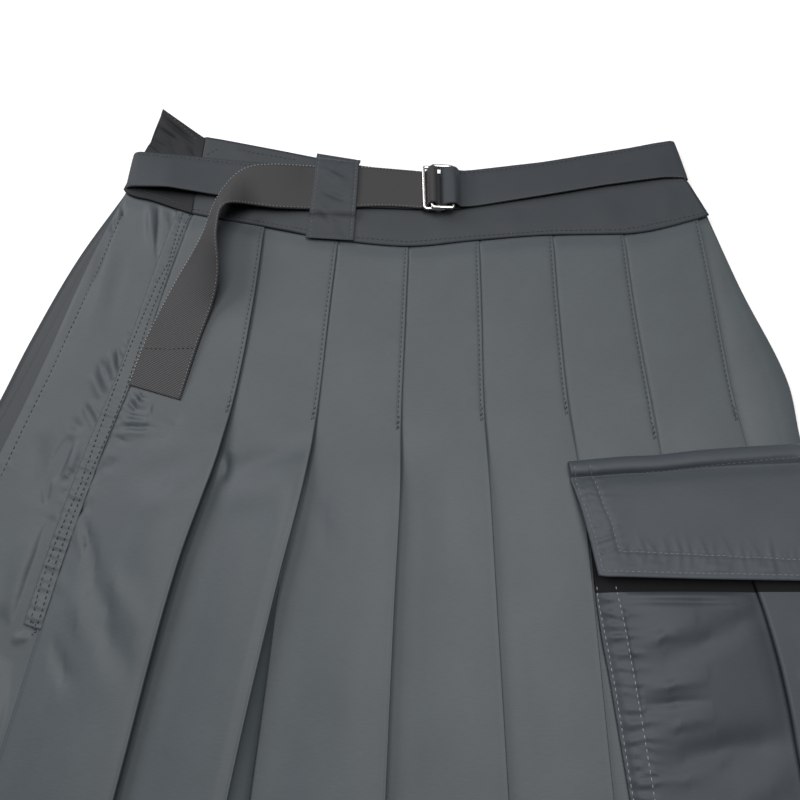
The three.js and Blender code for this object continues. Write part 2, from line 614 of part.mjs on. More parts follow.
// Pocket flap: rows of [x, y] along its top and bottom edges, of [share of the way down, x] along its
// sides, and of [share of the way down, height] for its form
const FLAP_TOP = [[89.4, -134.6], [118, -131.9], [136, -131.2], [160, -128.3], [183, -126.6], [214, -124.7]];
const FLAP_BOTTOM = [[98.8, -194.6], [103, -195.2], [153, -196.5], [200, -197.3], [229, -197.6]];
const FLAP_LEFT = [[0, 89.3], [0.18, 89.9], [0.46, 93.7], [0.75, 96.8], [1, 98.8]];
const FLAP_RIGHT = [[0, 213.5], [0.3, 216.5], [0.6, 221.5], [1, 227.5]];
const FLAP_HEIGHT = [
  [0, 6.7], [0.05, 7.2], [0.11, 7.2], [0.145, 6.8], [0.2, 7.6],
  [0.34, 9.4], [0.45, 10.1], [0.8, 10.2], [0.97, 10.1], [1, 10.1],
];

// The flap's left side settles on to the front over this share of its width
const FLAP_SETTLE = { share: 0.08, depth: 1.76 };
function pocketFlap() {
  const columns = [0, 0.03, FLAP_SETTLE.share, 0.2, 0.4, 0.6, 0.75, 0.9, 1];
  const grid = FLAP_HEIGHT.map(([share, z]) => {
    const left = straight(FLAP_LEFT, share);
    const right = straight(FLAP_RIGHT, share);
    return columns.map((across) => {
      const x = left + (right - left) * across;
      const high = straight(FLAP_TOP, x);
      const low = straight(FLAP_BOTTOM, x);
      const settle = FLAP_SETTLE.depth * share * Math.max(1 - across / FLAP_SETTLE.share, 0);
      return new THREE.Vector3(x, high + (low - high) * share, z - settle);
    });
  });
  piece('pocket_flap', wall(grid, FLAP), DARK_SATIN);
}

backPanel();
leftUnderPleat();
frontLeftPanel();
placketStrip();
pleatedFront();
waistbandBack();
waistbandFront();
waistbandLeftEnd();
beltRuns();
beltFreeEnd();
frontBeltLoop();
backBeltLoops();
buckleRings();
pocketBody();
pocketFlap();

skirt.position.set(-UNDERSIDE_MIDDLE.x, -UNDERSIDE_MIDDLE.y, 0);

export default skirt;
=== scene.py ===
"""A pleated cargo skirt laid out flat, dressed in cloth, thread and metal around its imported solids.

Metres. X runs to the right of the front as it is seen from above, Y towards the waist, Z up.
"""

import math

import bpy
import numpy as np
from mathutils import Matrix, Vector
from mathutils.bvhtree import BVHTree


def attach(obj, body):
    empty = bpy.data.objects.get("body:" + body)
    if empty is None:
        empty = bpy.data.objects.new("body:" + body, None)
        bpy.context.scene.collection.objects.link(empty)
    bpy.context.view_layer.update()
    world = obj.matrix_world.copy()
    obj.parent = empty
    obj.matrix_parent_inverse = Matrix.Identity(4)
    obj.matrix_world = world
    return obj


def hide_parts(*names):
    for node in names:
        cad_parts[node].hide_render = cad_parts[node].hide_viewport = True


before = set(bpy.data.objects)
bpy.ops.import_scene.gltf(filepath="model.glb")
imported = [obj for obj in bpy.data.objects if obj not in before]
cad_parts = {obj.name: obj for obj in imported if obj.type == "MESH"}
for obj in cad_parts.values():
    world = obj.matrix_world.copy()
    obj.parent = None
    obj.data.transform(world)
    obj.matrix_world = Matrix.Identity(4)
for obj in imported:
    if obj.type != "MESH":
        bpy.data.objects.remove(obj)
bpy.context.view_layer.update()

# Table, light and camera
# The skirt lies on a pale table under two wide soft lights, one from the upper left and one from above,
# as for a shop's cut-out picture. The camera looks down at it, tilted towards the waist.
MM = 0.001
# The waist's foot point on the table, from which every place on the skirt is measured
WAIST = np.array([25, 227, 0]) * MM
VIEW_TILT = math.radians(20)
CAMERA_FROM_WAIST = np.array([0, -243.5, 402]) * MM
FOCAL_LENGTH = 34.65
SENSOR_WIDTH = 36
TABLE_SIZE = 6.0
SOFT_LIGHTS = {
    "window": {"place": (-2.1, 1.8, 1.9), "size": 1.8, "watts": 62, "colour": "#fdfcff"},
    "overhead": {"place": (0.2, 0.4, 2.8), "size": 2.0, "watts": 82, "colour": "#fffdfb"},
}
LIGHTS_AIM = Vector((0, 0.02, 0))
ROOM_LIGHT = {"colour": "#f2f4f8", "strength": 0.12}


def linear(hex_colour):
    """An sRGB hex colour as linear red, green, blue and alpha."""
    parts = [int(hex_colour[i : i + 2], 16) / 255 for i in (1, 3, 5)]
    return [c / 12.92 if c <= 0.04045 else ((c + 0.055) / 1.055) ** 2.4 for c in parts] + [1]


def add_node(material, kind, inputs=None, **settings):
    """Adds a shader node with its settings. An input is a value, or a node or socket linked to it."""
    tree = material.node_tree
    node = tree.nodes.new("ShaderNode" + kind)
    for name, value in settings.items():
        setattr(node, name, value)
    for name, value in (inputs or {}).items():
        if isinstance(value, bpy.types.Node):
            value = next(socket for socket in value.outputs if socket.enabled)
        if isinstance(value, bpy.types.NodeSocket):
            tree.links.new(value, node.inputs[name])
        else:
            node.inputs[name].default_value = value
    return node


def new_material(name):
    """An empty material, to which its nodes are added."""
    material = bpy.data.materials.new(name)
    material.use_nodes = True
    material.node_tree.nodes.clear()
    return material


def surfaced(material, surface):
    """The same material, ended in a Principled shader whose inputs are given."""
    shader = add_node(material, "BsdfPrincipled", surface)
    add_node(material, "OutputMaterial", {"Surface": shader})
    return material


def put_in_scene(name, data):
    """A new object in the scene."""
    thing = bpy.data.objects.new(name, data)
    bpy.context.scene.collection.objects.link(thing)
    return thing


def smooth_mesh(name, points, faces, material):
    """A new smooth-shaded object of points and four-sided faces."""
    mesh = bpy.data.meshes.new(name)
    mesh.from_pydata(points.reshape(-1, 3).tolist(), [], faces.reshape(-1, 4).tolist())
    mesh.shade_smooth()
    mesh.materials.append(material)
    return put_in_scene(name, mesh)


def make_table():
    paint = {"Base Color": linear("#f4f4f4"), "Roughness": 0.9, "Specular IOR Level": 0.1}
    matt_white = surfaced(new_material("matt_white_table"), paint)
    corners = np.array([(-1, -1, 0), (1, -1, 0), (1, 1, 0), (-1, 1, 0)]) * TABLE_SIZE / 2
    smooth_mesh("table_top", corners, np.arange(4), matt_white)


def make_lights():
    for name, light in SOFT_LIGHTS.items():
        lamp = bpy.data.lights.new(name, "AREA")
        lamp.size = light["size"]
        lamp.energy = light["watts"]
        lamp.color = linear(light["colour"])[:3]
        holder = put_in_scene(name, lamp)
        holder.location = light["place"]
        holder.rotation_euler = (LIGHTS_AIM - holder.location).to_track_quat("-Z", "Y").to_euler()
    world = bpy.data.worlds.new("studio")
    world.use_nodes = True
    background = world.node_tree.nodes["Background"]
    background.inputs["Color"].default_value = linear(ROOM_LIGHT["colour"])
    background.inputs["Strength"].default_value = ROOM_LIGHT["strength"]
    bpy.context.scene.world = world
    bpy.context.scene.view_settings.view_transform = "Standard"


def make_camera():
    lens = bpy.data.cameras.new("view")
    lens.sensor_width = SENSOR_WIDTH
    lens.lens = FOCAL_LENGTH
    lens.clip_start = 0.01
    camera = put_in_scene("view", lens)
    camera.location = WAIST + CAMERA_FROM_WAIST
    camera.rotation_euler = (VIEW_TILT, 0, 0)
    bpy.context.scene.camera = camera


make_table()
make_lights()
make_camera()


# Back panel
# One width of dark grey nylon satin, cut wider towards the hem. It lies flat on the table and carries
# the rest of the skirt. Its side seams join it to the front, and its hem is turned up.
LENGTH = 545 * MM
# How thick the cloth is drawn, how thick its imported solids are, and how far apart the layers lie
SHELL = 0.6 * MM
SOLID = 1.0 * MM
LAYER = 1.3 * MM
# Middle heights of the four layers: back panel, cloth on it, inside of a fold, and top of a fold
BACK_Z = 0.5 * MM
LOW_Z = BACK_Z + LAYER
FOLD_Z = LOW_Z + LAYER
TOP_Z = FOLD_Z + LAYER
# How far the cloth goes on under the waistband, and how the band presses it: reach and share of height
TUCK = 5.5 * MM
PRESS = {"reach": 9 * MM, "share": 0.55}
# How far down the rows of points lie close together, about as far as the photo shows
FINE_TO = 300 * MM

# Distances down from the waist seam, then each cut line: its height at the seam, and its place across at
# each of those distances, in millimetres
STATIONS = np.array([0, 50, 110, 150, 205, 300, 545]) * MM
CUT_LINES = {
    "back_edge": (37.8, [-168.5, -191.5, -212, -223.5, -244, -279, -362]),
    "under_fold": (37, [-168, -185, -204.5, -217, -235, -268, -345]),
    "left_edge": (36, [-167.5, -183, -197.8, -208.5, -225, -253, -322]),
    "left_middle": (30, [-150.5, -163, -175.5, -187, -201, -223, -281]),
    "placket": (21, [-125.5, -136.5, -148.5, -159, -171, -187.5, -234]),
    "pleat1": (11.8, [-81.3, -84.5, -91.2, -98.2, -112.6, -129.5, -169]),
    "pleat2": (2.4, [-37, -41, -45.5, -50.6, -61.8, -79, -112]),
    "pleat3": (-1.8, [5, 2.9, 0.5, 0, -2.8, -7, -17]),
    "pleat4": (2.5, [47, 46.7, 46.1, 47.2, 48.2, 50, 55]),
    "pleat5": (6, [91.1, 91.1, 92.4, 95.6, 97, 98.6, 106]),
    "pleat6": (6.7, [133.6, 134.8, 138.2, 140.5, 144, 150, 166]),
    "pleat7": (17.2, [179.5, 181.6, 183.5, 187, 193, 204, 232]),
    "right_side": (19.8, [186, 198.5, 216, 217.8, 231, 254, 312]),
}
layers = {}


def through_bends(xs, ys, bends, at):
    """The value of a curve through the points (xs, ys) with the given slope at each."""
    at = np.clip(at, xs[0], xs[-1])
    k = np.clip(np.searchsorted(xs, at, side="right") - 1, 0, len(xs) - 2)
    width = xs[k + 1] - xs[k]
    t = (at - xs[k]) / width
    start = ys[k] * (1 + 2 * t) * (1 - t) ** 2 + bends[k] * width * t * (1 - t) ** 2
    return start + ys[k + 1] * t * t * (3 - 2 * t) + bends[k + 1] * width * t * t * (t - 1)


def smooth(xs, ys, at):
    """The value of a smooth curve through the points (xs, ys)."""
    xs = np.asarray(xs, float)
    ys = np.asarray(ys, float)
    slopes = np.diff(ys) / np.diff(xs)
    bends = np.concatenate([slopes[:1], (slopes[:-1] + slopes[1:]) / 2, slopes[-1:]])
    return through_bends(xs, ys, bends, at)


def even(xs, ys, at):
    """The value of a curve through the points (xs, ys) that rises and falls only where they do."""
    xs = np.asarray(xs, float)
    ys = np.asarray(ys, float)
    widths = np.diff(xs)
    slopes = np.diff(ys) / widths
    before, after = slopes[:-1], slopes[1:]
    same_way = before * after > 0
    nearer = 2 * widths[1:] + widths[:-1]
    further = widths[1:] + 2 * widths[:-1]
    shares = nearer / np.where(same_way, before, 1) + further / np.where(same_way, after, 1)
    mean = np.where(same_way, (nearer + further) / shares, 0)
    bends = np.concatenate([slopes[:1], mean, slopes[-1:]])
    return through_bends(xs, ys, bends, at)


def line_at(name, down):
    """Places across and up the page of a cut line, at distances down from the waist seam."""
    seam_y, across = CUT_LINES[name]
    lean = (across[-1] - across[0]) * MM / LENGTH
    down = np.asarray(down, float)
    return smooth(STATIONS, np.array(across) * MM, down), seam_y * MM - down * math.sqrt(1 - lean**2)


def row_y(x, down):
    """The place up the page of points across the skirt, for rows at distances down from the waist."""
    lines = [line_at(name, down) for name in CUT_LINES]
    xs = np.stack([line[0] for line in lines], axis=1)
    ys = np.stack([line[1] for line in lines], axis=1)
    return np.stack([even(xs[r], ys[r], x[r]) for r in range(len(down))])


def rows_down(fine, coarse, last=LENGTH, crinkled=None):
    """Distances down from the waist seam, closer together in the upper part and where it is crinkled."""
    turn = min(FINE_TO, last)
    upper = np.linspace(0, turn, round(turn / fine) + 1)
    if crinkled:
        extra = np.arange(*crinkled)
        upper = np.concatenate([upper[upper < extra[0]], extra, upper[upper > extra[-1]]])
    if last <= turn:
        return upper
    return np.concatenate([upper, np.linspace(turn, last, round((last - turn) / coarse) + 1)[1:]])


def under_band(down):
    """The same rows with two more above the seam, where the cloth goes on under the waistband."""
    return np.concatenate([[-TUCK, -TUCK / 2], down])


def pressed(points, down):
    """Presses the layers together near the waist seam, so that they go flat under the waistband."""
    free = np.clip(down / PRESS["reach"], 0, 1)[:, None]
    thick = PRESS["share"] + (1 - PRESS["share"]) * free * free * (3 - 2 * free)
    points[..., 2] = LOW_Z + (points[..., 2] - LOW_Z) * thick
    return points


def panel(left, right, columns, down, height, inset=(0, 0)):
    """A grid of points between two cut lines. height gives Z from the share across and the row."""
    x_left = line_at(left, down)[0][:, None] + inset[0]
    x_right = line_at(right, down)[0][:, None] - inset[1]
    share = np.linspace(0, 1, columns)[None, :]
    x = x_left + (x_right - x_left) * share
    return np.stack([x, row_y(x, down), height(share, down[:, None]) + 0 * x], axis=2)


def cloth(name, points, material, node, thickness=SHELL):
    """A thin shell of cloth round a grid of points. Its UV map is in metres along the threads."""
    rows, columns = points.shape[:2]
    placed = points + WAIST
    index = np.arange(rows * columns).reshape(rows, columns)
    corners = index[:-1, :-1], index[1:, :-1], index[1:, 1:], index[:-1, 1:]
    faces = np.stack([corner.ravel() for corner in corners], axis=1)
    piece = smooth_mesh(name, placed, faces, material)
    across = np.linalg.norm(np.diff(placed, axis=1, prepend=placed[:, :1]), axis=2).cumsum(axis=1)
    along = np.linalg.norm(np.diff(placed, axis=0, prepend=placed[:1]), axis=2).cumsum(axis=0)
    flat = np.stack([across, along.mean(axis=1, keepdims=True) + 0 * across], axis=2).reshape(-1, 2)
    uv = piece.data.uv_layers.new(name="threads")
    uv.data.foreach_set("uv", flat[faces.ravel()].ravel().astype(np.float32))
    shell = piece.modifiers.new("thickness", "SOLIDIFY")
    shell.thickness = thickness
    shell.offset = 0
    tree = BVHTree.FromPolygons([Vector(p) for p in placed.reshape(-1, 3)], faces.tolist())
    layers[name] = {"tree": tree, "points": placed, "thickness": thickness}
    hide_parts(node)
    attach(piece, "root")
    return piece


def sheet_of(piece, size_mm):
    """Works out a piece's area as a sheet of cloth, at most that of its cut size; the result is not kept."""
    points = layers[piece.name]["points"]
    across = np.diff(points, axis=1)[:-1]
    down = np.diff(points, axis=0)[:, :-1]
    area = float(np.linalg.norm(np.cross(across, down), axis=2).sum())
    width, length = (size * MM for size in size_mm)
    area = min(area, width * length)


def satin(name, colour, shade, roughness):
    """Nylon satin: close weft floats give a soft sheen, with faint streaks along the threads.

    The floats are really 0.2 mm apart; they are drawn 0.7 mm apart, to show at this distance, and seven
    times as long as wide. The dye lies a little unevenly, in clouds about 40 mm wide.
    """
    float_pitch = 0.7 * MM
    clouds_per_metre = 26.0
    material = new_material(name)
    uv = add_node(material, "TexCoord").outputs["UV"]
    scale = (0.14 / float_pitch, 1 / float_pitch, 1)
    stretched = add_node(material, "Mapping", {"Vector": uv, "Scale": scale})
    weave = {"Vector": stretched, "Scale": 1.0, "Detail": 3.0, "Roughness": 0.6}
    floats = add_node(material, "TexNoise", weave, noise_dimensions="2D")
    dye = {"Vector": uv, "Scale": clouds_per_metre, "Detail": 3.0, "Roughness": 0.55}
    clouds = add_node(material, "TexNoise", dye, noise_dimensions="2D")
    colours = {"Factor": clouds, "A": linear(shade), "B": linear(colour)}
    tone = add_node(material, "Mix", colours, data_type="RGBA")
    streak = add_node(material, "MapRange", {"Value": floats, "To Min": 0.88, "To Max": 1.12})
    threads = add_node(material, "VectorMath", {"Vector": tone, "Scale": streak}, operation="SCALE")
    relief = add_node(material, "Bump", {"Height": floats, "Strength": 0.35, "Distance": 0.06 * MM})
    surface = {
        "Base Color": threads,
        "Normal": relief,
        "Roughness": roughness,
        "IOR": 1.45,
        "Sheen Weight": 0.12,
        "Sheen Roughness": 0.35,
        "Sheen Tint": linear("#c9ccd6"),
    }
    return surfaced(material, surface)


skirt_satin = satin("charcoal_nylon_satin", "#41484c", "#393f43", 0.56)
# The back and its fold are the front's satin, its colour darkened with painted shade for the shade on the
# low strips beside the front's left edge
back_satin_painted_shade = satin("back_nylon_satin_painted_shade", "#2f3437", "#282c2f", 0.62)


def make_back_panel():
    down = under_band(rows_down(6 * MM, 6 * MM))
    lie = BACK_Z - (SOLID - SHELL) / 2
    points = panel("back_edge", "right_side", 96, down, lambda share, row: lie + 0 * share)
    return cloth("back_cloth", points, back_satin_painted_shade, "back_panel")


back_cloth = make_back_panel()
sheet_of(back_cloth, (674, 548))


# Fold of the back panel's left side
# A narrow fold of the same satin that lies on the back panel, and shows as a second edge beside the
# front's own left edge. It is pressed, not stitched.
LOOSE_FROM = 110 * MM
UNDER_FOLD = {"rise": 0.25 * MM, "edge_share": 0.3, "hidden": 12 * MM}


def make_under_pleat():
    down = under_band(rows_down(4 * MM, 6 * MM))

    def height(share, row):
        rise = UNDER_FOLD["rise"] * np.clip(row / LOOSE_FROM, 0, 1)
        return LOW_Z + rise * np.minimum(share / UNDER_FOLD["edge_share"], 1)

    points = panel("under_fold", "left_middle", 24, down, height, (0, UNDER_FOLD["hidden"]))
    return cloth("under_pleat_cloth", points, back_satin_painted_shade, "left_under_pleat")


under_pleat = make_under_pleat()
sheet_of(under_pleat, (60, 560))


# Front left panel
# The satin between the skirt's free left edge and the placket. One row of topstitching holds its
# turned edge. Its gathers under the waistband and along the placket are drawn up by the sewing.

LEFT_COLUMNS = 76
SEAM_GAP = 0.15 * MM
# The panel's crown, and the share of the way across from which it slopes down under the placket
LEFT_CROWN = {"rise": 0.35 * MM, "swell": 0.5 * MM, "full_at": 60 * MM, "slopes_from": 0.7}
LEFT_LOWEST = LOW_Z + LAYER * 0.55
# How many columns of points beside the placket are held down by it
SEWN_COLUMNS = 8
# Soft creases: start and end across and up the page, half width and height, in millimetres
LEFT_CREASES = [
    (-152, 34, -147, -4, 2.6, 1.8), (-147.2, 33, -144.5, 10, 1, -2.07),
    (-145.6, 18, -143.6, -10, 1.2, -1.8), (-140, 28, -135, 6, 1.6, -1.26),
    (-137, 26, -133, 14, 1.2, 0.837), (-136.4, 8, -137.4, -6, 1.1, -1.44),
    (-138.6, -6, -143.5, -20, 1.6, -1.44), (-170, 32, -166.4, 18, 1.4, -1.4),
    (-167, 30, -172, 10, 1.6, 1.1), (-173.6, 20, -172, 8, 1.5, -1.4), (-174, 8, -180, -30, 2.4, -0.93),
    (-169, 4, -176, -70, 6, 1.2), (-162, -4, -170, -60, 5, -0.78), (-153.7, -62, -149.7, -73, 1, -1.6),
    (-155.5, -59, -151.9, -73, 1.5, 0.93), (-159.9, -65, -155.5, -83, 1.4, -1.9),
    (-163.5, -67, -158.5, -87, 2, 1.1), (-169.8, -73, -160, -93.5, 2.4, -2.2),
    (-172.5, -81, -162.5, -101, 2.6, 1.2), (-174.6, -100, -163.9, -116.5, 2.2, -2.1),
    (-171.5, -99, -162.5, -113, 2, 0.93), (-180.5, -109, -172.5, -117, 3, -1.1),
    (-177.5, -117, -186, -146, 3.4, -3), (-173, -121, -178, -146, 3, 1.6),
    (-187.4, -138, -186.4, -158, 1.7, -2.5), (-193, -116, -194, -158, 6, -1.6),
    (-177.6, -138, -171.6, -142.6, 0.8, -1.1), (-180.4, -145, -173.4, -141.4, 0.8, -1.1),
    (-179, -149, -174.4, -146.4, 0.8, 0.78), (-179, -160, -174, -166, 1.5, -1.4),
    (-180.4, -160, -187.6, -200, 3.4, -2.9), (-186, -184, -191, -226, 3.4, -2.8),
    (-189, -164, -196, -214, 6, 0.93), (-194, -219.4, -173, -217.6, 1.5, -2.3),
    (-194, -224, -180, -223, 2.4, 1.4), (-176, -217, -161, -240, 2.6, -2.2),
    (-180, -224, -172, -250, 3.5, 1.4), (-204, -206, -193, -238, 5, -1.9),
    (-214, -190, -204, -230, 7, 1.2), (-232, -230, -214, -300, 9, 1.9), (-196, -236, -190, -290, 6, 1.4),
    (-222, -240, -206, -280, 4, -0.9), (-186, -20, -196, -66, 4, 0.78), (-205, -60, -218, -120, 5, 0.78),
    (-250, -330, -228, -420, 10, 1), (-280, -380, -262, -500, 12, 1.1), (-232, -370, -240, -470, 9, -0.7),
]
# Rows of stitches, as points on the page in millimetres
PLACKET_SEAM = [
    (-125.2, 21.5), (-129.3, 7.5), (-136, -23.5), (-141, -43.7), (-150.7, -95.3), (-156.5, -117.3),
    (-163.9, -142.4), (-168.6, -161.7), (-174.5, -188.1), (-177.8, -212.8), (-180, -222),
]
PLACKET_ROW = [
    (-131.3, 22), (-136.2, -11.8), (-141.3, -25.1), (-147, -46.4), (-152.1, -66.5), (-156.5, -85.3),
    (-163.7, -119.1), (-169.1, -145.8), (-175.7, -169.2), (-181.7, -196.7), (-183.9, -217.2),
]
LEFT_ROW = [
    (-167.9, 21.7), (-180.4, -27.9), (-186.6, -51.7), (-195.5, -84.3), (-205.8, -118.7),
    (-212.4, -142.6), (-229, -205), (-247, -262), (-258, -300), (-288, -400), (-321, -520),
]


def creased(points, creases, grip=None):
    """Raises soft ridges and sinks soft troughs in a grid of points, each fading out at its ends."""
    x, y = points[..., 0], points[..., 1]
    relief = np.zeros_like(x)
    for x0, y0, x1, y1, width, height in np.array(creases) * MM:
        run = (x1 - x0, y1 - y0)
        length = math.hypot(*run)
        t = ((x - x0) * run[0] + (y - y0) * run[1]) / length**2
        aside = ((x - x0) * run[1] - (y - y0) * run[0]) / length
        fade = np.clip(1 - (2 * t - 1) ** 2, 0, 1) ** 1.5
        relief += height * fade * np.exp(-((aside / width) ** 2))
    lifted = points.copy()
    lifted[..., 2] += relief if grip is None else relief * grip
    return lifted


def beside(points, line):
    """Distance of each point from a line on the page, to its left positive, and the way along it."""
    x, y = points[..., 0], points[..., 1]
    nearest = np.full(x.shape, np.inf)
    side = np.zeros_like(x)
    along = np.zeros_like(x)
    start = 0
    corners = np.array(line) * MM
    for (x0, y0), (x1, y1) in zip(corners[:-1], corners[1:]):
        run = np.array([x1 - x0, y1 - y0])
        length = np.linalg.norm(run)
        t = np.clip(((x - x0) * run[0] + (y - y0) * run[1]) / length**2, 0, 1)
        distance = np.hypot(x - x0 - t * run[0], y - y0 - t * run[1])
        turn = np.sign(run[0] * (y - y0) - run[1] * (x - x0))
        closer = distance < nearest
        nearest = np.where(closer, distance, nearest)
        side = np.where(closer, turn, side)
        along = np.where(closer, start + t * length, along)
        start += length
    return nearest * side, along, start


# How unevenly puckers are drawn, as ranges of shares of what a row asks for: shift along it, slant, half
# width, reach and height
PUCKER = [(-0.35, 0.35), (-0.5, 0.5), (0.16, 0.3), (0.5, 1.3), (0.4, 1.2)]
# How a row of stitches fades in at its ends, and how far from it a pucker starts
ROW_FADE = 3 * MM
PUCKER_START = 0.8 * MM


def sewn_in(points, line, depth, puckers, reach, pitch, seed, width=0.9):
    """Draws the cloth down along a row of stitches, with uneven puckers that fade out beside it."""
    aside, along, length = beside(points, line)
    ends = np.clip(along / ROW_FADE, 0, 1) * np.clip((length - along) / ROW_FADE, 0, 1)
    relief = -depth * MM * np.exp(-((aside / (width * MM)) ** 2)) * ends
    random = np.random.default_rng(seed)
    grow = np.clip(np.abs(aside) / PUCKER_START, 0, 1) * ends
    for middle in np.arange(pitch * MM, length, pitch * MM):
        shift, slant, wide, far, high = (random.uniform(*limits) for limits in PUCKER)
        offset = along - middle - shift * pitch * MM - slant * np.abs(aside)
        rib = np.exp(-((offset / (wide * pitch * MM)) ** 2))
        relief += high * puckers * MM * rib * np.exp(-((aside / (far * reach * MM)) ** 2)) * grow
    pulled = points.copy()
    pulled[..., 2] += relief
    return pulled


def stitch_marks(line, pitch, mark, start=0):
    """The start and end of each stitch along a line. Columns after the third are carried along."""
    corners = np.array(line, float)
    steps = np.linalg.norm(np.diff(corners[:, :3], axis=0), axis=1)
    along = np.concatenate([[0], steps.cumsum()])
    starts = np.arange(start, along[-1] - mark, pitch)
    both = np.stack([starts, starts + mark], axis=1)
    return np.stack([np.interp(both, along, column) for column in corners.T], axis=2)


# From this height down, a stitch finds the cloth that it lies on
ABOVE_ALL = 60 * MM


def on_cloth(places, names, lift):
    """Sets places on the page on the highest of the named cloths, and gives the surface's normals."""
    set_down = []
    normals = []
    for x, y in places.reshape(-1, 2):
        above = Vector((x + WAIST[0], y + WAIST[1], ABOVE_ALL))
        hits = [(layers[n]["tree"].ray_cast(above, Vector((0, 0, -1))), n) for n in names]
        hits = [(hit, n) for hit, n in hits if hit[0] is not None]
        if not hits:
            set_down.append((np.nan, np.nan, np.nan))
            normals.append((0, 0, 1))
            continue
        hit, name = max(hits, key=lambda found: found[0][0].z)
        up = hit[1] if hit[1].z > 0 else -hit[1]
        set_down.append(hit[0] + up * (layers[name]["thickness"] / 2 + lift))
        normals.append(up)
    shape = places.shape[:-1] + (3,)
    return np.array(set_down).reshape(shape), np.array(normals).reshape(shape)


# Along a stitch: share of its length, height over the cloth and girth, both in radii of the thread
STITCH_PROFILE = [(0, -0.9, 0.35), (0.2, 0.15, 0.95), (0.5, 0.35, 1.1), (0.8, 0.15, 0.95), (1, -0.9, 0.35)]
THREAD_SIDES = 6
THREAD_FLATNESS = 0.8
THREAD_LIFT = 0.02 * MM


def thread_mesh(name, ends, normals, material, radius):
    """Each stitch as a short raised float of thread, its ends drawn down into the cloth."""
    kept = ~np.isnan(ends).any(axis=(1, 2))
    ends, normals = ends[kept], normals[kept]
    run = ends[:, 1] - ends[:, 0]
    run = run / np.linalg.norm(run, axis=1, keepdims=True)
    across = np.cross(run, normals.mean(axis=1))
    across /= np.linalg.norm(across, axis=1, keepdims=True)
    up = np.cross(across, run)
    rings = []
    for share, lift, girth in STITCH_PROFILE:
        middle = ends[:, 0] + (ends[:, 1] - ends[:, 0]) * share + up * lift * radius
        for turn in np.arange(THREAD_SIDES) * 2 * math.pi / THREAD_SIDES:
            out = across * math.cos(turn) + up * math.sin(turn) * THREAD_FLATNESS
            rings.append(middle + out * radius * girth)
    points = np.stack(rings, axis=1)
    ring = np.arange(THREAD_SIDES)
    after = (ring + 1) % THREAD_SIDES
    starts = np.arange(len(STITCH_PROFILE)) * THREAD_SIDES
    faces = [
        np.stack([near + ring, near + after, far + after, far + ring], axis=1)
        for near, far in zip(starts[:-1], starts[1:])
    ]
    faces.append(np.array([[0, 5, 4, 3], [0, 3, 2, 1]]))
    faces.append(starts[-1] + np.array([[0, 1, 2, 3], [0, 3, 4, 5]]))
    first_points = np.arange(len(ends)) * points.shape[1]
    all_faces = np.concatenate(faces)[None] + first_points[:, None, None]
    piece = smooth_mesh(name, points, all_faces, material)
    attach(piece, "root")
    return piece


def topstitch(name, rows, names, material, pitch, mark, radius):
    """Rows of stitches, given as lines on the page in millimetres, on the highest of some cloths."""
    ends, normals = [], []
    for row in rows:
        marks = stitch_marks(np.array(row) * MM, pitch * MM, mark * MM)
        placed, up = on_cloth(marks, names, THREAD_LIFT)
        ends.append(placed)
        normals.append(up)
    return thread_mesh(name, np.concatenate(ends), np.concatenate(normals), material, radius * MM)


def polyester_thread(name, colour):
    """Spun polyester sewing thread, with a slight gloss and a fine twist about 0.3 mm long."""
    twists_per_metre = 3200.0
    material = new_material(name)
    place = add_node(material, "TexCoord").outputs["Object"]
    twist = add_node(material, "TexNoise", {"Vector": place, "Scale": twists_per_metre, "Detail": 1.0})
    shade = [c * 0.7 for c in linear(colour)[:3]] + [1]
    tone = add_node(material, "Mix", {"Factor": twist, "A": linear(colour), "B": shade}, data_type="RGBA")
    return surfaced(material, {"Base Color": tone, "Roughness": 0.5, "IOR": 1.55, "Sheen Weight": 0.2})


dark_thread = polyester_thread("charcoal_thread", "#0c0e11")
selvedge_thread = polyester_thread("slate_thread", "#4a4d51")
grey_thread = polyester_thread("grey_thread", "#85898e")
dim_thread = polyester_thread("lead_grey_thread", "#62666c")


def make_left_panel():
    down = under_band(rows_down(1.5 * MM, 4 * MM))
    slopes_from = LEFT_CROWN["slopes_from"]

    def height(share, row):
        rise = LEFT_CROWN["rise"] * np.clip(row / LOOSE_FROM, 0, 1)
        swell = LEFT_CROWN["swell"] * np.clip(row / LEFT_CROWN["full_at"], 0, 1)
        top = FOLD_Z + rise + swell * np.sin(np.pi * np.minimum(share / slopes_from, 1))
        slope = np.clip((share - slopes_from) / (1 - slopes_from), 0, 1)
        return top + (LOW_Z - top) * slope * slope * (3 - 2 * slope)

    points = panel("left_edge", "placket", LEFT_COLUMNS, down, height, (0, SEAM_GAP))
    share = np.linspace(0, 1, LEFT_COLUMNS)[None, :]
    at_placket, at_edge = np.clip((1 - share) / 0.1, 0, 1), np.clip(share / 0.05, 0.25, 1)
    at_seam = np.clip(down[:, None] / (3 * MM), 0, 1)
    points = creased(points, LEFT_CREASES, at_placket * at_edge * at_seam)
    points = sewn_in(points, LEFT_ROW, depth=0.35, puckers=0.18, reach=4, pitch=5, seed=3)
    points = sewn_in(points, PLACKET_ROW, depth=0.25, puckers=0.55, reach=8, pitch=5, seed=8)
    z = points[..., 2]
    z[:] = np.maximum(z, LEFT_LOWEST)
    z[:, -SEWN_COLUMNS:] = np.minimum(z[:, -SEWN_COLUMNS:], z[:, -SEWN_COLUMNS - 1, None])
    return cloth("left_panel_cloth", pressed(points, down), skirt_satin, "front_left_panel")


left_panel = make_left_panel()
left_row = topstitch(
    "left_edge_stitches", [LEFT_ROW], ["left_panel_cloth"], dark_thread, pitch=3.1, mark=2.0, radius=0.3
)
sheet_of(left_panel, (92, 575))


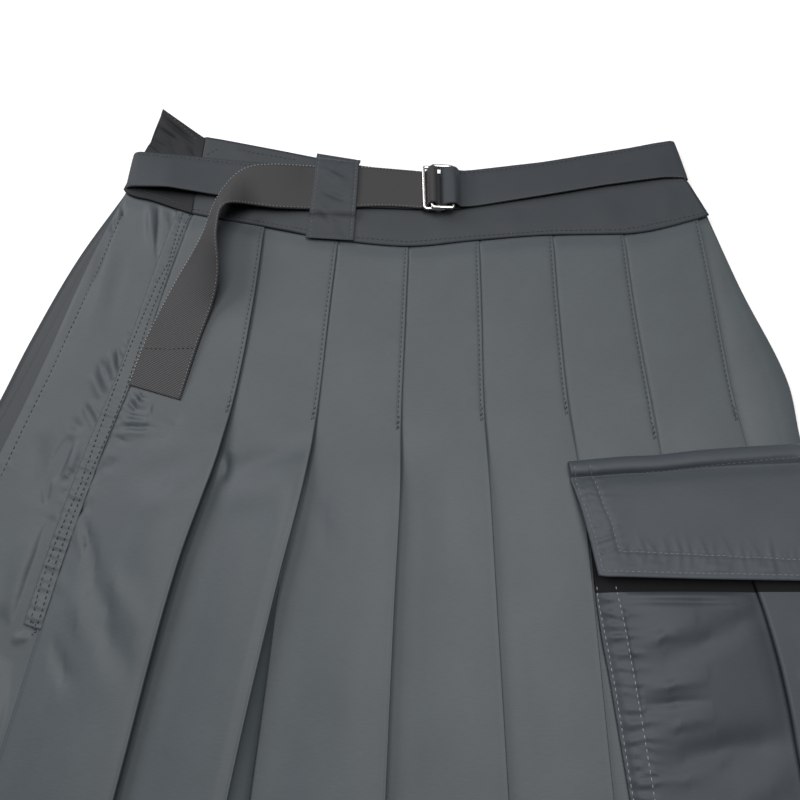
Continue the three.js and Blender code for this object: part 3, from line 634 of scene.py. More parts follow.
# Placket strip
# A narrow facing of the satin, sewn over the panel's edge with two rows that end in a bartack. The
# sewing has drawn the strip up into a ladder of small puckers.
PLACKET = {"width": 9 * MM, "end": 246 * MM, "lift": 0.2 * MM, "slope": 0.11}
# Its outer edge turns down again: how far out from the seam that starts, and its slope
PLACKET_TURN = {"from": 8 * MM, "slope": 0.6}
# The ladder of puckers: pitch, shift either way, half length and least and most height, in millimetres
LADDER = {"pitch": 5.2, "shift": 1.4, "half_length": 1.3, "height": (0.35, 0.95)}
# The ladder is weak near the waist and grows to its full height lower down
LADDER_GROWS = {"weakest": 0.3, "from": 90 * MM, "over": 80 * MM}


def make_placket():
    down = under_band(rows_down(1.1 * MM, 2 * MM, PLACKET["end"]))
    seam = line_at("placket", down)[0][:, None]
    share = np.linspace(0, 1, 13)[None, :]
    from_edge = PLACKET["width"] * (1 - share)
    x = seam - SEAM_GAP - from_edge
    turned = PLACKET_TURN["slope"] * np.clip(from_edge - PLACKET_TURN["from"], 0, None)
    z = LOW_Z + LAYER + PLACKET["lift"] + PLACKET["slope"] * from_edge - turned
    points = np.stack([x, row_y(x, down), z + 0 * x], axis=2)
    random = np.random.default_rng(11)
    ladder = np.zeros_like(down)
    for middle in np.arange(8 * MM, PLACKET["end"], LADDER["pitch"] * MM):
        middle += random.uniform(-LADDER["shift"], LADDER["shift"]) * MM
        grown = np.clip((middle - LADDER_GROWS["from"]) / LADDER_GROWS["over"], 0, 1)
        strength = LADDER_GROWS["weakest"] + (1 - LADDER_GROWS["weakest"]) * grown
        rung = np.exp(-(((down - middle) / (LADDER["half_length"] * MM)) ** 2))
        ladder += random.uniform(*LADDER["height"]) * strength * MM * rung
    points[..., 2] += ladder[:, None] * np.sin(np.pi * share) ** 0.7
    points = sewn_in(points, PLACKET_ROW, depth=0.3, puckers=0.2, reach=3, pitch=4, seed=5, width=0.7)
    points = sewn_in(points, PLACKET_SEAM, depth=0.3, puckers=0.2, reach=3, pitch=4, seed=6, width=0.7)
    return cloth("placket_cloth", pressed(points, down), skirt_satin, "placket_strip")


placket = make_placket()
seam_row = [(x - 1.6, y) for x, y in PLACKET_SEAM]
bartack_row = [
    (-183.9, -216), (-180.4, -217.5), (-184, -219), (-180.2, -220.5), (-183.6, -222), (-180.4, -223),
]
placket_rows = topstitch(
    "placket_stitches",
    [PLACKET_ROW, seam_row, bartack_row],
    ["placket_cloth", "left_panel_cloth"],
    dark_thread,
    pitch=3.0,
    mark=2.0,
    radius=0.33,
)
sheet_of(placket, (11, 262))


# Pleated front
# One wide length of satin pressed into seven knife pleats. Each is stitched down beside its fold for
# the top 110 mm, ends in a small bartack, and then opens: the three at the left stand up the most.

# Each pleat's cut line, how far back its inner fold lies and how high it stands, in millimetres, both at
# the distances down of the cut lines
PLEATS = [
    ("pleat1", [15, 15, 15, 14, 14, 16, 18], [0.4, 0.9, 0.9, 5.6, 5.8, 4.8, 3.6]),
    ("pleat2", [15, 15, 15, 10, 0.5, -9, -20], [0, 0, 0.6, 5.0, 6.2, 5.4, 4.2]),
    ("pleat3", [15, 15, 15, 14, 13, 12, 12], [0, 0, 0.4, 3.2, 4.2, 4.6, 4.2]),
    ("pleat4", [15, 15, 15, 15, 15, 15, 16], [0, 0, 0.2, 1.9, 2.2, 2.0, 1.8]),
    ("pleat5", [15, 15, 15, 15, 15, 15, 16], [0, 0, 0.2, 0.5, 0.5, 0.8, 1.2]),
    ("pleat6", [15, 15, 15, 15, 15, 15, 16], [0, 0, 0, 0, 0, 0, 1.0]),
    ("pleat7", [15, 15, 15, 15, 15, 15, 16], [0, 0, 0, 0, 0, 0, 1.0]),
]
FOLD_CLEARANCE = 1.6 * MM
# How firmly the pleats are sewn down at those distances, and how far down each one's stitches go, in
# millimetres
SEWN_DOWN = [1, 1, 1, 0.1, 0, 0, 0]
STITCHED_DOWN = [120, 114, 114, 113, 113, 128, 128]
# Corners of each panel as it climbs to its fold: share of the way, step on in millimetres, share of the
# climb where it is loose and where it is sewn down, cut of the corner, and points on the straight before
CLIMB = [
    (0, 0.5, 0.02, 0.5, 0.5, 1),
    (0, 1.5, 0.05, 0.8, 1, 1),
    (0.08, 1.5, 0.12, 0.85, 2, 1),
    (0.26, 1.5, 0.28, 0.9, 5, 2),
    (0.55, 1.5, 0.66, 0.96, 8, 3),
]
SECOND_PANEL_HELD = 0.55
# Corners round each fold: back from its edge in millimetres, how much lower as shares of its rise, of its
# roll and of a layer, cut of the corner, and points on the straight before
FOLD = [
    (5, 0.02, 0, 0, 3, 2),
    (1.4, 0.1, 0.3, 0, 0.6, 2),
    (0.4, 0.03, 0.6, 0, 0.2, 1),
    (0, 0.05, 1, 0, 0.2, 1),
    (0, 0.05, 1, 0.85, 0.35, 1),
]
FOLD_FLAT = FOLD[0][0] * MM
FOLD_ROLL = 0.4 * MM
# The inside of a fold: share of the way back to its valley, and share of the height it still has there
INSIDE_FOLD = (0.3, 0.62)
# Corners cut by less than this have no point in their middle, and no corner takes more of a straight
SHARP = 0.7 * MM
LARGEST_CUT = 0.48
SIDE_PUFF = {"height": 2.2 * MM, "from_width": 8 * MM, "over": 30 * MM}
# How many times closer the points lie across the first panel, which is crinkled beside the placket, and
# the rows that are crinkled there: from, to and step
FIRST_PANEL_FINER = 4
CRINKLED_ROWS = (105 * MM, 146 * MM, 1.2 * MM)
FRONT_CREASES = [
    (-149, -99, -142.8, -106.5, 0.9, -1.9), (-147, -95.5, -141, -103.5, 1.2, 1.2),
    (-145.6, -93.5, -138.4, -102.5, 1.1, -1.5), (-140.4, -98.5, -138.6, -110.5, 1.2, -1.5),
    (-142.6, -100.5, -141.4, -108.5, 1.1, 1.2), (-149, -107.5, -139.4, -110.1, 1, -1.4),
    (-137.6, -96.5, -135.4, -112.5, 1.5, 1), (-152, -111.5, -133, -112.1, 1.4, 0.868),
    (-153, -114.5, -131.4, -115.3, 1.3, -1.364), (-152, -117.9, -132, -118.5, 1.6, 0.744),
    (-154.6, -120.1, -146.4, -123.5, 1.1, -1), (-155.6, -125.9, -146, -128.5, 1.2, -0.85),
    (-139, -125.9, -122, -116.5, 3, -1), (-130, -104.5, -118, -114.5, 3, -0.85),
    (-163, -138.4, -148, -133.6, 1.6, -1.2), (-163, -134, -150, -129.6, 1.8, 0.85),
    (-163.6, -139.6, -154.6, -145.4, 0.9, -1.5), (-170, -161.4, -161, -157, 0.9, -1.7),
    (-168, -156, -160, -152.4, 1.2, 0.85), (-166.6, -164, -155, -190, 2.3, -2.9),
    (-169, -162, -159, -186, 2.6, 1.5), (-160.6, -180, -144, -216, 4.6, -2.2),
    (-161.6, -194, -140.6, -216, 1.8, -1.5), (-152, -206, -130, -246, 6, -2.2),
    (-151, -186, -125, -224, 5, 1.2), (-165, -200, -151, -232, 4, 1.2), (-173, -222, -157, -252, 3, -1.7),
    (-92, -124, -142, -150, 7, -2), (-96, -146, -138, -162, 6, 0.9), (-104, -144, -40, -122, 6, -2),
    (-100, -158, -50, -146, 6, 0.9), (-92.5, -127, -94, -147, 3, -2.2), (-44, -150, -34, -190, 5, -0.9),
    (-118, -140, -134, -196, 9, 1.5), (-100, -150, -112, -200, 7, 0.5), (-84, -125, -100, -175, 7, 0.6),
    (-78, -160, -92, -240, 8, 0.7), (-52, -130, -66, -186, 6, 0.6), (-30, -125, -38, -200, 9, 0.6),
    (-22, -210, -30, -290, 8, 0.5), (26, -122, 22, -200, 8, 0.5), (70, -128, 74, -196, 9, 0.5),
    (64, -210, 70, -280, 9, 0.4), (-150, -260, -160, -330, 8, 0.7), (-60, -330, -70, -430, 10, 0.9),
    (20, -340, 16, -470, 10, 0.9), (80, -360, 84, -480, 10, 0.8), (-150, -380, -176, -500, 10, 0.9),
]


def rounded(corners, cuts, counts):
    """Points along lines with rounded corners, one line for each row.

    corners holds rows of corners. cuts gives how much of the straights each corner takes, and counts
    how many points lie on the straight before each corner.
    """
    steps = np.diff(corners, axis=1)
    lengths = np.linalg.norm(steps, axis=2)
    ways = steps / np.maximum(lengths, 1e-9)[..., None]
    found = [corners[:, 0]]
    here = corners[:, 0]
    last = corners.shape[1] - 1
    for i in range(1, last + 1):
        corner = corners[:, i]
        before = corner
        if i < last:
            shorter = np.minimum(lengths[:, i - 1], lengths[:, i])
            cut = np.minimum(cuts[i], LARGEST_CUT * shorter)[:, None]
            before = corner - cut * ways[:, i - 1]
            after = corner + cut * ways[:, i]
        for t in np.linspace(0, 1, counts[i] + 1)[1:]:
            found.append(here + (before - here) * t)
        if i < last:
            if cuts[i] > SHARP:
                found.append(before / 4 + corner / 2 + after / 4)
            found.append(after)
            here = after
    return np.stack(found, axis=1)


def pleated_section(down):
    """Corners of the front's section across, for rows at distances down, with their cuts and counts."""
    start = line_at("placket", down)[0] + SEAM_GAP
    under_placket = start - 1.5 * MM
    corners, cuts, counts = [(under_placket, LOW_Z + 0.7 * MM + 0 * start)], [0], [0]

    def add(x, z, cut, count):
        corners.append((x, z + 0 * x))
        cuts.append(cut * MM)
        counts.append(count)

    sewn = smooth(STATIONS, np.array(SEWN_DOWN), down)
    roll = FOLD_ROLL * sewn
    add(start + 0.2 * MM, FOLD_Z - 0.1 * MM, 0.5, 2)
    for order, (name, back, lift) in enumerate(PLEATS):
        edge = line_at(name, down)[0]
        valley = edge - smooth(STATIONS, np.array(back) * MM, down)
        rise = smooth(STATIONS, np.array(lift) * MM, down)
        crest = TOP_Z + rise
        flat = np.minimum(edge - FOLD_FLAT, valley) - FOLD_CLEARANCE
        base = FOLD_Z if order == 0 else LOW_Z
        finer = FIRST_PANEL_FINER if order == 0 else 1
        held_down = sewn * (SECOND_PANEL_HELD if order == 1 else 1)
        for share, step, loose, held, cut, count in CLIMB:
            climb = loose + (held - loose) * held_down
            x = start + step * MM + share * (flat - start)
            add(x, base + (crest - base) * climb, cut, count * finer)
        add(flat, crest - FOLD[0][1] * rise, 6, 3 * finer)
        for back_by, sag, rolled, lower, cut, count in FOLD:
            add(edge - back_by * MM, crest - sag * rise - rolled * roll - lower * LAYER, cut, count)
        inward, height = INSIDE_FOLD
        add(edge + inward * (valley - edge), FOLD_Z + (crest - LAYER - FOLD_Z) * height, 1, 1)
        add(valley, FOLD_Z, 0.6, 2)
        add(valley, LOW_Z, 0.6, 1)
        start = np.maximum(edge, valley)
    side = line_at("right_side", down)[0]
    width = side - start
    puff = SIDE_PUFF["height"] * np.clip((width - SIDE_PUFF["from_width"]) / SIDE_PUFF["over"], 0, 1)
    add(start + FOLD_CLEARANCE, LOW_Z, 1.2, 4)
    add(start + 0.4 * width, LOW_Z + puff, 20, 5)
    add(start + 0.8 * width, LOW_Z + 0.9 * puff, 20, 5)
    add(side - 1.2 * MM, LOW_Z + 0.4 * puff, 2, 3)
    add(side, LOW_Z, 0, 1)
    return np.array(corners).transpose(2, 0, 1), cuts, counts


BESIDE_FOLD = 1.7 * MM


def pleat_rows():
    """The rows of stitches beside the folds, as lines on the page in millimetres."""
    rows = []
    for (name, _, _), end in zip(PLEATS, STITCHED_DOWN):
        down = np.linspace(1, end, 24) * MM
        x, _ = line_at(name, down)
        beside_fold = (x - BESIDE_FOLD)[:, None]
        y = row_y(beside_fold, down)
        rows.append([(a / MM, b / MM) for a, b in zip(beside_fold[:, 0], y[:, 0])])
    return rows


def make_pleated_front():
    down = under_band(rows_down(3.3 * MM, 17 * MM, crinkled=CRINKLED_ROWS))
    section = rounded(*pleated_section(down))
    x = section[..., 0]
    points = np.stack([x, row_y(x, down), section[..., 1]], axis=2)
    points = creased(points, FRONT_CREASES, np.clip(down[:, None] / (4 * MM), 0, 1))
    for k, row in enumerate(pleat_rows()):
        points = sewn_in(points, row, depth=0.3, puckers=0.16, reach=6, pitch=7, seed=20 + k, width=0.7)
    points = sewn_in(points, PLACKET_SEAM, depth=0.1, puckers=0.5, reach=7, pitch=6, seed=40)
    points = pressed(points, down)
    return cloth("pleated_cloth", points, skirt_satin, "front_pleated")


pleated = make_pleated_front()


# The two rows of a bartack: across and up from the end of the stitching, and length, in millimetres
BARTACK_ROWS = [(0.6, 0, 8), (-0.5, -0.6, 7)]


def bartacks():
    """A short doubled row at the end of each pleat's stitching."""
    tacks = []
    for row in pleat_rows():
        (x0, y0), (x1, y1) = row[-2], row[-1]
        slope = (x1 - x0) / (y1 - y0)
        for across, up, length in BARTACK_ROWS:
            low = (x1 + across, y1 + up)
            tacks.append([low, (low[0] + length * slope, low[1] + length)])
    return tacks


all_rows = pleat_rows() + bartacks()
pleat_stitches = topstitch(
    "pleat_stitches", all_rows, ["pleated_cloth"], dark_thread, pitch=3.0, mark=1.9, radius=0.29
)
sheet_of(pleated, (760, 560))


# Waistband
# A separate band of the same satin, cut double with interlining and a shade darker for it. The front
# has a row of stitches above its lower seam. Its left end is stiff and stands up to a point.
BAND_SHELL = 0.9 * MM
# The seam where the bands meet the skirt, and their top edge, as points on the page in millimetres
SEAM = [(line[1][0], line[0]) for line in CUT_LINES.values()]
BAND_TOP = [
    (-121.6, 76.4), (-111, 74.3), (-75, 66.2), (-52, 60.8), (-24, 54.8), (13, 49.6),
    (34, 48.6), (88, 55.4), (143, 65.4), (167, 70.8), (172, 71.2),
]
# Ends of each band, as pairs of a share of the way up and a place across, its height at such shares, how
# far its top lies below the front's and how far it goes on under the left end, in millimetres
FRONT_BAND = {
    "left": [(0, -125.2), (0.5, -123.4), (1, -121.6)],
    "right": [(0, 186), (0.42, 177.6), (0.5, 175.8), (0.56, 172.8), (1, 168)],
    "height": [(0, 4.3), (0.08, 4.35), (0.2, 4.7), (1, 4.7)],
    "drop": 0,
    "goes_under": 2.4,
}
BACK_BAND = {
    "left": [(0, -165.4), (0.5, -160.5), (1, -150)],
    "right": [(0, 185.4), (0.42, 177.2), (0.5, 175.4), (0.56, 172.4), (1, 167.6)],
    "height": [(0, 1.9), (0.1, 1.9), (0.22, 3.2), (1, 3.2)],
    "drop": 1.2,
    "goes_under": 0,
}
# How the front band dips where it goes under the left end: depth, and distance, in millimetres
BAND_DIP = {"depth": 0.95, "from": 1, "over": 3}
BAND_CREASES = [
    (-100, 14, -84, 30, 5, 0.5), (-60, 4, -70, 20, 4, 0.4), (20, 1, 30, 20, 7, 0.5), (64, 5, 70, 26, 7, 0.4),
    (120, 8, 130, 32, 8, 0.5), (158, 14, 166, 40, 5, 0.5), (-108, 68, -90, 62, 3, 0.5),
]


def through(table, at):
    """The value of a straight-sided line through pairs of places."""
    pairs = np.array(table, float)
    return np.interp(at, pairs[:, 0], pairs[:, 1])


def band_grid(band, columns, rows):
    share = np.linspace(1, 0, rows)[:, None]
    left, right = through(band["left"], share), through(band["right"], share)
    first = left - band["goes_under"]
    near = 0.012
    across = np.concatenate([np.linspace(0, near, 5), np.linspace(near, 1, columns)[1:]])[None, :]
    x = first + (right - first) * across
    low = even(*zip(*SEAM), x)
    y = low + (through(BAND_TOP, x) - band["drop"] - low) * share
    under = np.clip((left + BAND_DIP["from"] - x) / BAND_DIP["over"], 0, 1)
    dip = BAND_DIP["depth"] * under if band["goes_under"] else 0
    return np.stack([x, y, through(band["height"], share) - dip + 0 * x], axis=2) * MM


band_satin = satin("interlined_nylon_satin", "#2b3035", "#252a2f", 0.66)
# The standing left end is the band's satin, its colour darkened with painted shade where it turns away from
# the light
left_end_satin_painted_shade = satin("left_end_nylon_satin_painted_shade", "#0e1217", "#0a0d11", 0.75)


def make_waistbands():
    front = creased(band_grid(FRONT_BAND, 170, 30), BAND_CREASES)
    front = sewn_in(
        front, [(x, y + 2.6) for x, y in SEAM[4:]], depth=0.25, puckers=0.14, reach=4, pitch=6, seed=50
    )
    front_band = cloth("front_band_cloth", front, band_satin, "waistband_front", BAND_SHELL)
    back = band_grid(BACK_BAND, 120, 16)
    return front_band, cloth("back_band_cloth", back, band_satin, "waistband_back", BAND_SHELL)


# Corners of the left end: low left, peak, low right and shoulder, in millimetres
LEFT_END = np.array([(-168.6, 36.4, 4.3), (-148.6, 93.2, 10.5), (-125.5, 21.3, 4.3), (-121.9, 75.2, 4.7)])
STANDS_FROM = 0.66
LEFT_END_CREASES = [
    (-152, 91, -125, 69, 1.0, -1.3), (-148, 91, -124, 73, 1.4, 0.5), (-152, 86, -134, 71, 1.5, 0.7),
    (-153, 82, -138, 73, 1.3, -0.9), (-156, 78, -142, 68, 1.6, 0.7), (-158, 74, -146, 63, 1.5, -1.0),
    (-144, 78, -138, 62, 2.4, -0.7), (-136, 74, -131, 60, 2.2, 0.6), (-150, 93, -158, 68, 0.8, 0.8),
    (-148.4, 92, -156, 68, 0.7, -0.7), (-130, 70, -126, 60, 1.6, -0.7),
]


def make_left_end():
    """The stiff left end, from a low seam up to the corner that stands proud of the belt."""
    low_left, peak, low_right, shoulder = LEFT_END
    share = np.linspace(1, 0, 76)[:, None, None]
    across = np.linspace(0, 1, 56)[None, :, None]
    left = low_left + (peak - low_left) * share
    right = low_right + (shoulder - low_right) * share
    points = left + (right - left) * across
    seam_points = low_left + (low_right - low_left) * across
    seam_y = even(*zip(*SEAM), seam_points[..., 0])
    points[..., 1] += (1 - share[..., 0]) * (seam_y - seam_points[..., 1])
    stand = np.clip((share - STANDS_FROM) / (1 - STANDS_FROM), 0, 1)
    lie = low_left[2] + (shoulder[2] - low_left[2]) * np.clip(share / 0.1, 0, 1)
    points[..., 2] = (lie + (peak[2] - lie) * stand * (1 - across) ** 1.3)[..., 0]
    points = creased(points * MM, LEFT_END_CREASES)
    return cloth("left_end_cloth", points, left_end_satin_painted_shade, "waistband_left_end", BAND_SHELL)


front_band, back_band = make_waistbands()
left_end = make_left_end()
band_row = [(x, y + 2.8) for x, y in SEAM[4:-1]] + [(183, 21.4)]
peak_rows = [
    [(-145.9, 90.6), (-125, 72.2)], [(-119.8, 62.9), (-113.2, 67.4)], [(-100.6, 66.3), (-62, 58.6)],
    [(-162, 39), (-128, 25)],
]
bands = ["front_band_cloth", "left_end_cloth"]
band_stitches = topstitch(
    "band_stitches", [band_row] + peak_rows, bands, dark_thread, pitch=2.9, mark=1.9, radius=0.24
)
sheet_of(front_band, (312, 56))
sheet_of(back_band, (350, 58))
sheet_of(left_end, (44, 60))


# Belt
# Webbing 30 mm wide with a face of the band's satin, edge-stitched along it. It runs round the whole
# waist. Its right end is folded back round both rings and sewn down.

# Its top and bottom edges at the front, as points on the page in millimetres
BELT_TOP = [
    (-167, 60), (-164.7, 63.8), (-159.2, 64.6), (-141.6, 62.3), (-116.6, 59.6), (-93.6, 56.8), (-50, 52.8),
    (-24, 51.8), (13, 48.5), (37, 48.5), (44, 50.6), (88.1, 56.6), (142.7, 67.1), (167, 72.6), (172, 72.4),
]
BELT_BOTTOM = [
    (-167, 38.3), (-124.1, 33.3), (-111.3, 31.7), (-50, 25.2), (-24, 23.9), (13, 22.5), (35, 22.5),
    (44, 24.2), (77.3, 29.8), (124, 38.9), (164.9, 45.4), (177, 45.2),
]
# Stations along each run: place across at the top edge, at the bottom edge, and height, in millimetres
FRONT_LEFT_RUN = [
    (-165.3, -167, 1.8), (-165.5, -167.2, 4.4), (-164, -165.4, 5.8), (-161, -162.4, 6.1), (-140, -140, 6.1),
    (-112, -112, 6.1), (-93, -93, 6.1), (-50, -50, 6.1), (-24, -24, 6.1), (13, 13, 6.1), (17, 17, 6.1),
]
FRONT_RIGHT_RUN = [
    (36.5, 36.5, 6.1), (27.4, 27.4, 6.1), (25.3, 25.3, 7), (24.9, 24.9, 8.6), (25.6, 25.6, 10.4),
    (28, 28, 12.1), (31, 31, 12.9), (33.2, 33.2, 12.7), (34.6, 34.6, 11), (35.6, 35.6, 8.9), (39, 39, 7.6),
    (46, 46, 6.1), (88, 88, 6.1), (124, 124, 6.1), (143, 143, 6.1), (160, 162, 6.1), (168.6, 173.3, 6.1),
    (171, 175.9, 5.3), (171.5, 176.5, 4), (171.5, 176.5, 1.8),
]
BACK_RUN = [
    (-165, -166.9, 0.5), (-126, -126, 0.5), (-110, -110, 1.8), (-50, -50, 1.8), (13, 13, 1.8),
    (44, 44, 1.8), (88, 88, 1.8), (126, 126, 1.8), (142, 142, 0.5), (170.1, 175.1, 0.5),
]
# At the back the belt lies lower on the waistband: place across, and drop, in millimetres
BACK_DROP = [(-110, 0), (-50, 2), (13, 6), (44, 8), (88, 9), (126, 7), (142, 3), (165, 0)]
NO_DROP = [(0, 0), (1, 0)]
# How far the bottom edge stands off the band: place across, and height, in millimetres
EDGE_STANDS = [
    (-166, 0.5), (-160, 3), (-150, 5.5), (-124, 5.2), (-115, 2.6),
    (-107, 0.8), (40, 0.3), (60, 1.6), (160, 1.4), (170, 0),
]
BELT_SHELL = 0.8 * MM
BELT_BEND = 3 * MM
BELT_ROW = [(x, y - 2.2) for x, y in BELT_TOP[1:]]


def points_along(line, step):
    """How many points each straight of a line takes, about that many millimetres apart."""
    lengths = np.linalg.norm(np.diff(line, axis=0), axis=1)
    return [0] + [max(1, round(length / (step * MM))) for length in lengths]


def belt_run(stations, drops, stands, across, step):
    """Points along a run of belt, its bends rounded, in rows from the top edge to the bottom edge."""
    top_x, low_x, z = np.array(stations, float).T
    share = np.linspace(0, 1, across)[:, None]
    x = top_x + (low_x - top_x) * share
    high, low = through(BELT_TOP, top_x), through(BELT_BOTTOM, low_x)
    y = high + (low - high) * share - through(drops, x)
    corners = np.stack([x, y, z + through(stands, x) * share], axis=2) * MM
    return rounded(corners, [BELT_BEND] * len(stations), points_along(corners[0], step))


def crowned(points, height):
    """Rounds a strip a little, so that its middle is proud of its edges."""
    share = np.linspace(-1, 1, points.shape[0])[:, None]
    raised = points.copy()
    raised[..., 2] += height * MM * (1 - share**4) - 0.5 * height * MM
    return raised


def grid_track(name, across, along):
    """A line on a cloth's grid, from pairs of shares, with the surface's normal carried along."""
    layer = layers[name]
    points = layer["points"]
    normals = np.cross(np.gradient(points, axis=0), np.gradient(points, axis=1))
    normals /= np.linalg.norm(normals, axis=2, keepdims=True) + 1e-12
    rows, columns = (np.array(way) * (size - 1) for way, size in zip((across, along), points.shape))
    r = np.minimum(rows.astype(int), points.shape[0] - 2)
    c = np.minimum(columns.astype(int), points.shape[1] - 2)
    u, v = (rows - r)[:, None], (columns - c)[:, None]
    both = np.concatenate([points, normals], axis=2)
    near = both[r, c] * (1 - u) + both[r + 1, c] * u
    far = both[r, c + 1] * (1 - u) + both[r + 1, c + 1] * u
    found = near * (1 - v) + far * v
    found[:, :3] += found[:, 3:] * (layer["thickness"] / 2 + THREAD_LIFT)
    return found


def stitch_tracks(name, tracks, material, pitch, mark, radius):
    """Rows of stitches along lines on grids."""
    marks = [stitch_marks(track, pitch * MM, mark * MM, 0.5 * MM) for track in tracks]
    marks = np.concatenate(marks)
    return thread_mesh(name, marks[..., :3], marks[..., 3:], material, radius * MM)


def edge_track(name, across, start, end):
    """A track along a strip at a given share across it."""
    along = np.linspace(start, end, 160)
    return grid_track(name, across + 0 * along, along)


def make_belt():
    runs = {
        "belt_left_cloth": (FRONT_LEFT_RUN, "belt_front_left"),
        "belt_right_cloth": (FRONT_RIGHT_RUN, "belt_front_right"),
        "belt_back_cloth": (BACK_RUN, "belt_back"),
    }
    pieces = []
    for name, (stations, node) in runs.items():
        drops = BACK_DROP if node == "belt_back" else NO_DROP
        stands = NO_DROP if node == "belt_back" else EDGE_STANDS
        points = crowned(belt_run(stations, drops, stands, 23, 1.6), 0.3)
        if node != "belt_back":
            points = sewn_in(
                points, BELT_ROW, depth=0.3, puckers=0.22, reach=2.4, pitch=3.4, seed=52, width=0.8
            )
        pieces.append(cloth(name, points, band_satin, node, BELT_SHELL))
    return pieces


belt_left, belt_right, belt_back = make_belt()
left_track = edge_track("belt_left_cloth", 0.075, 0.03, 0.99)
right_track = edge_track("belt_right_cloth", 0.075, 0.2, 0.97)
selvedge_track = edge_track("belt_right_cloth", 0.985, 0.2, 0.97)
belt_left_stitches = stitch_tracks(
    "belt_left_stitches", [left_track], dark_thread, pitch=2.9, mark=1.8, radius=0.2
)
belt_right_stitches = stitch_tracks(
    "belt_right_stitches", [right_track], dark_thread, pitch=2.9, mark=1.8, radius=0.2
)
belt_selvedge = stitch_tracks(
    "belt_right_selvedge", [selvedge_track], selvedge_thread, pitch=1.7, mark=1.0, radius=0.24
)
sheet_of(belt_left, (190, 30))
sheet_of(belt_right, (185, 30))
sheet_of(belt_back, (346, 32))


# Free end of the belt
# The belt turns over at the rings, so the free end shows its back: bare polyester webbing in a fine
# twill. It goes under the front loop, stands up on edge as it turns, and lies over the placket.

# Stations along the free end: outer edge across, up, height, then the inner edge, in millimetres
FREE_END = [
    (19.2, 48.3, 7.2, 19.2, 22.6, 7.2),
    (21.2, 48.3, 7.8, 21.2, 22.6, 7.8),
    (22.2, 48.3, 9.6, 22.2, 22.6, 9.6),
    (22.1, 48.3, 12.2, 22.1, 22.6, 12.2),
    (21.0, 48.3, 13.8, 21.0, 22.6, 13.8),
    (19.2, 48.3, 14.1, 19.2, 22.6, 14.1),
    (17.6, 48.3, 12.8, 17.6, 22.6, 12.8),
    (16.9, 48.4, 10.5, 16.9, 22.6, 10.5),
    (16.6, 48.5, 8.6, 16.6, 22.6, 8.6),
    (15.7, 48.5, 7.5, 15.7, 22.6, 7.5),
    (14.4, 48.5, 7.4, 14.4, 22.6, 7.4),
    (12, 48.8, 7.4, 12, 22.3, 7.4),
    (-5.4, 50.6, 7.4, -5.4, 23.9, 7.4),
    (-24, 52.4, 7.4, -24, 23.4, 7.4),
    (-38, 52.2, 7.4, -38, 22.4, 7.4),
    (-53, 51.8, 8.4, -53, 21.6, 7.4),
    (-67, 50.6, 12.0, -66, 21.6, 8.4),
    (-80, 50.2, 13.0, -74, 21.4, 9.2),
    (-90.6, 49.6, 12.0, -87.6, 22.4, 11.0),
    (-98.2, 46.6, 10.0, -95.7, 18.6, 19.0),
    (-104.3, 39.6, 9.0, -100.7, 14.5, 24.5),
    (-109.1, 31.0, 8.6, -102.7, 8.4, 27.5),
    (-113.2, 18.8, 8.2, -103.1, -0.8, 28.5),
    (-115.7, 6.8, 7.6, -103.1, -10.2, 28.4),
    (-119.5, -3.3, 7.2, -101.8, -18.0, 26.4),
    (-123.9, -13.3, 6.8, -101.3, -23.6, 22.6),
    (-129.4, -25.2, 6.4, -102.5, -32.6, 16.4),
    (-136.9, -44.5, 6.2, -107.0, -45.1, 8.4),
    (-143.0, -61.4, 6.0, -112.0, -60.8, 7.2),
    (-146.6, -76, 6.0, -116.2, -80, 6.6),
    (-149.6, -90.4, 6.0, -120.2, -99.6, 6.4),
]
CURL = {"depth": 1.2 * MM, "full_stand": 20}
WEBBING_SHELL = 0.9 * MM
WEBBING_BEND = 9 * MM


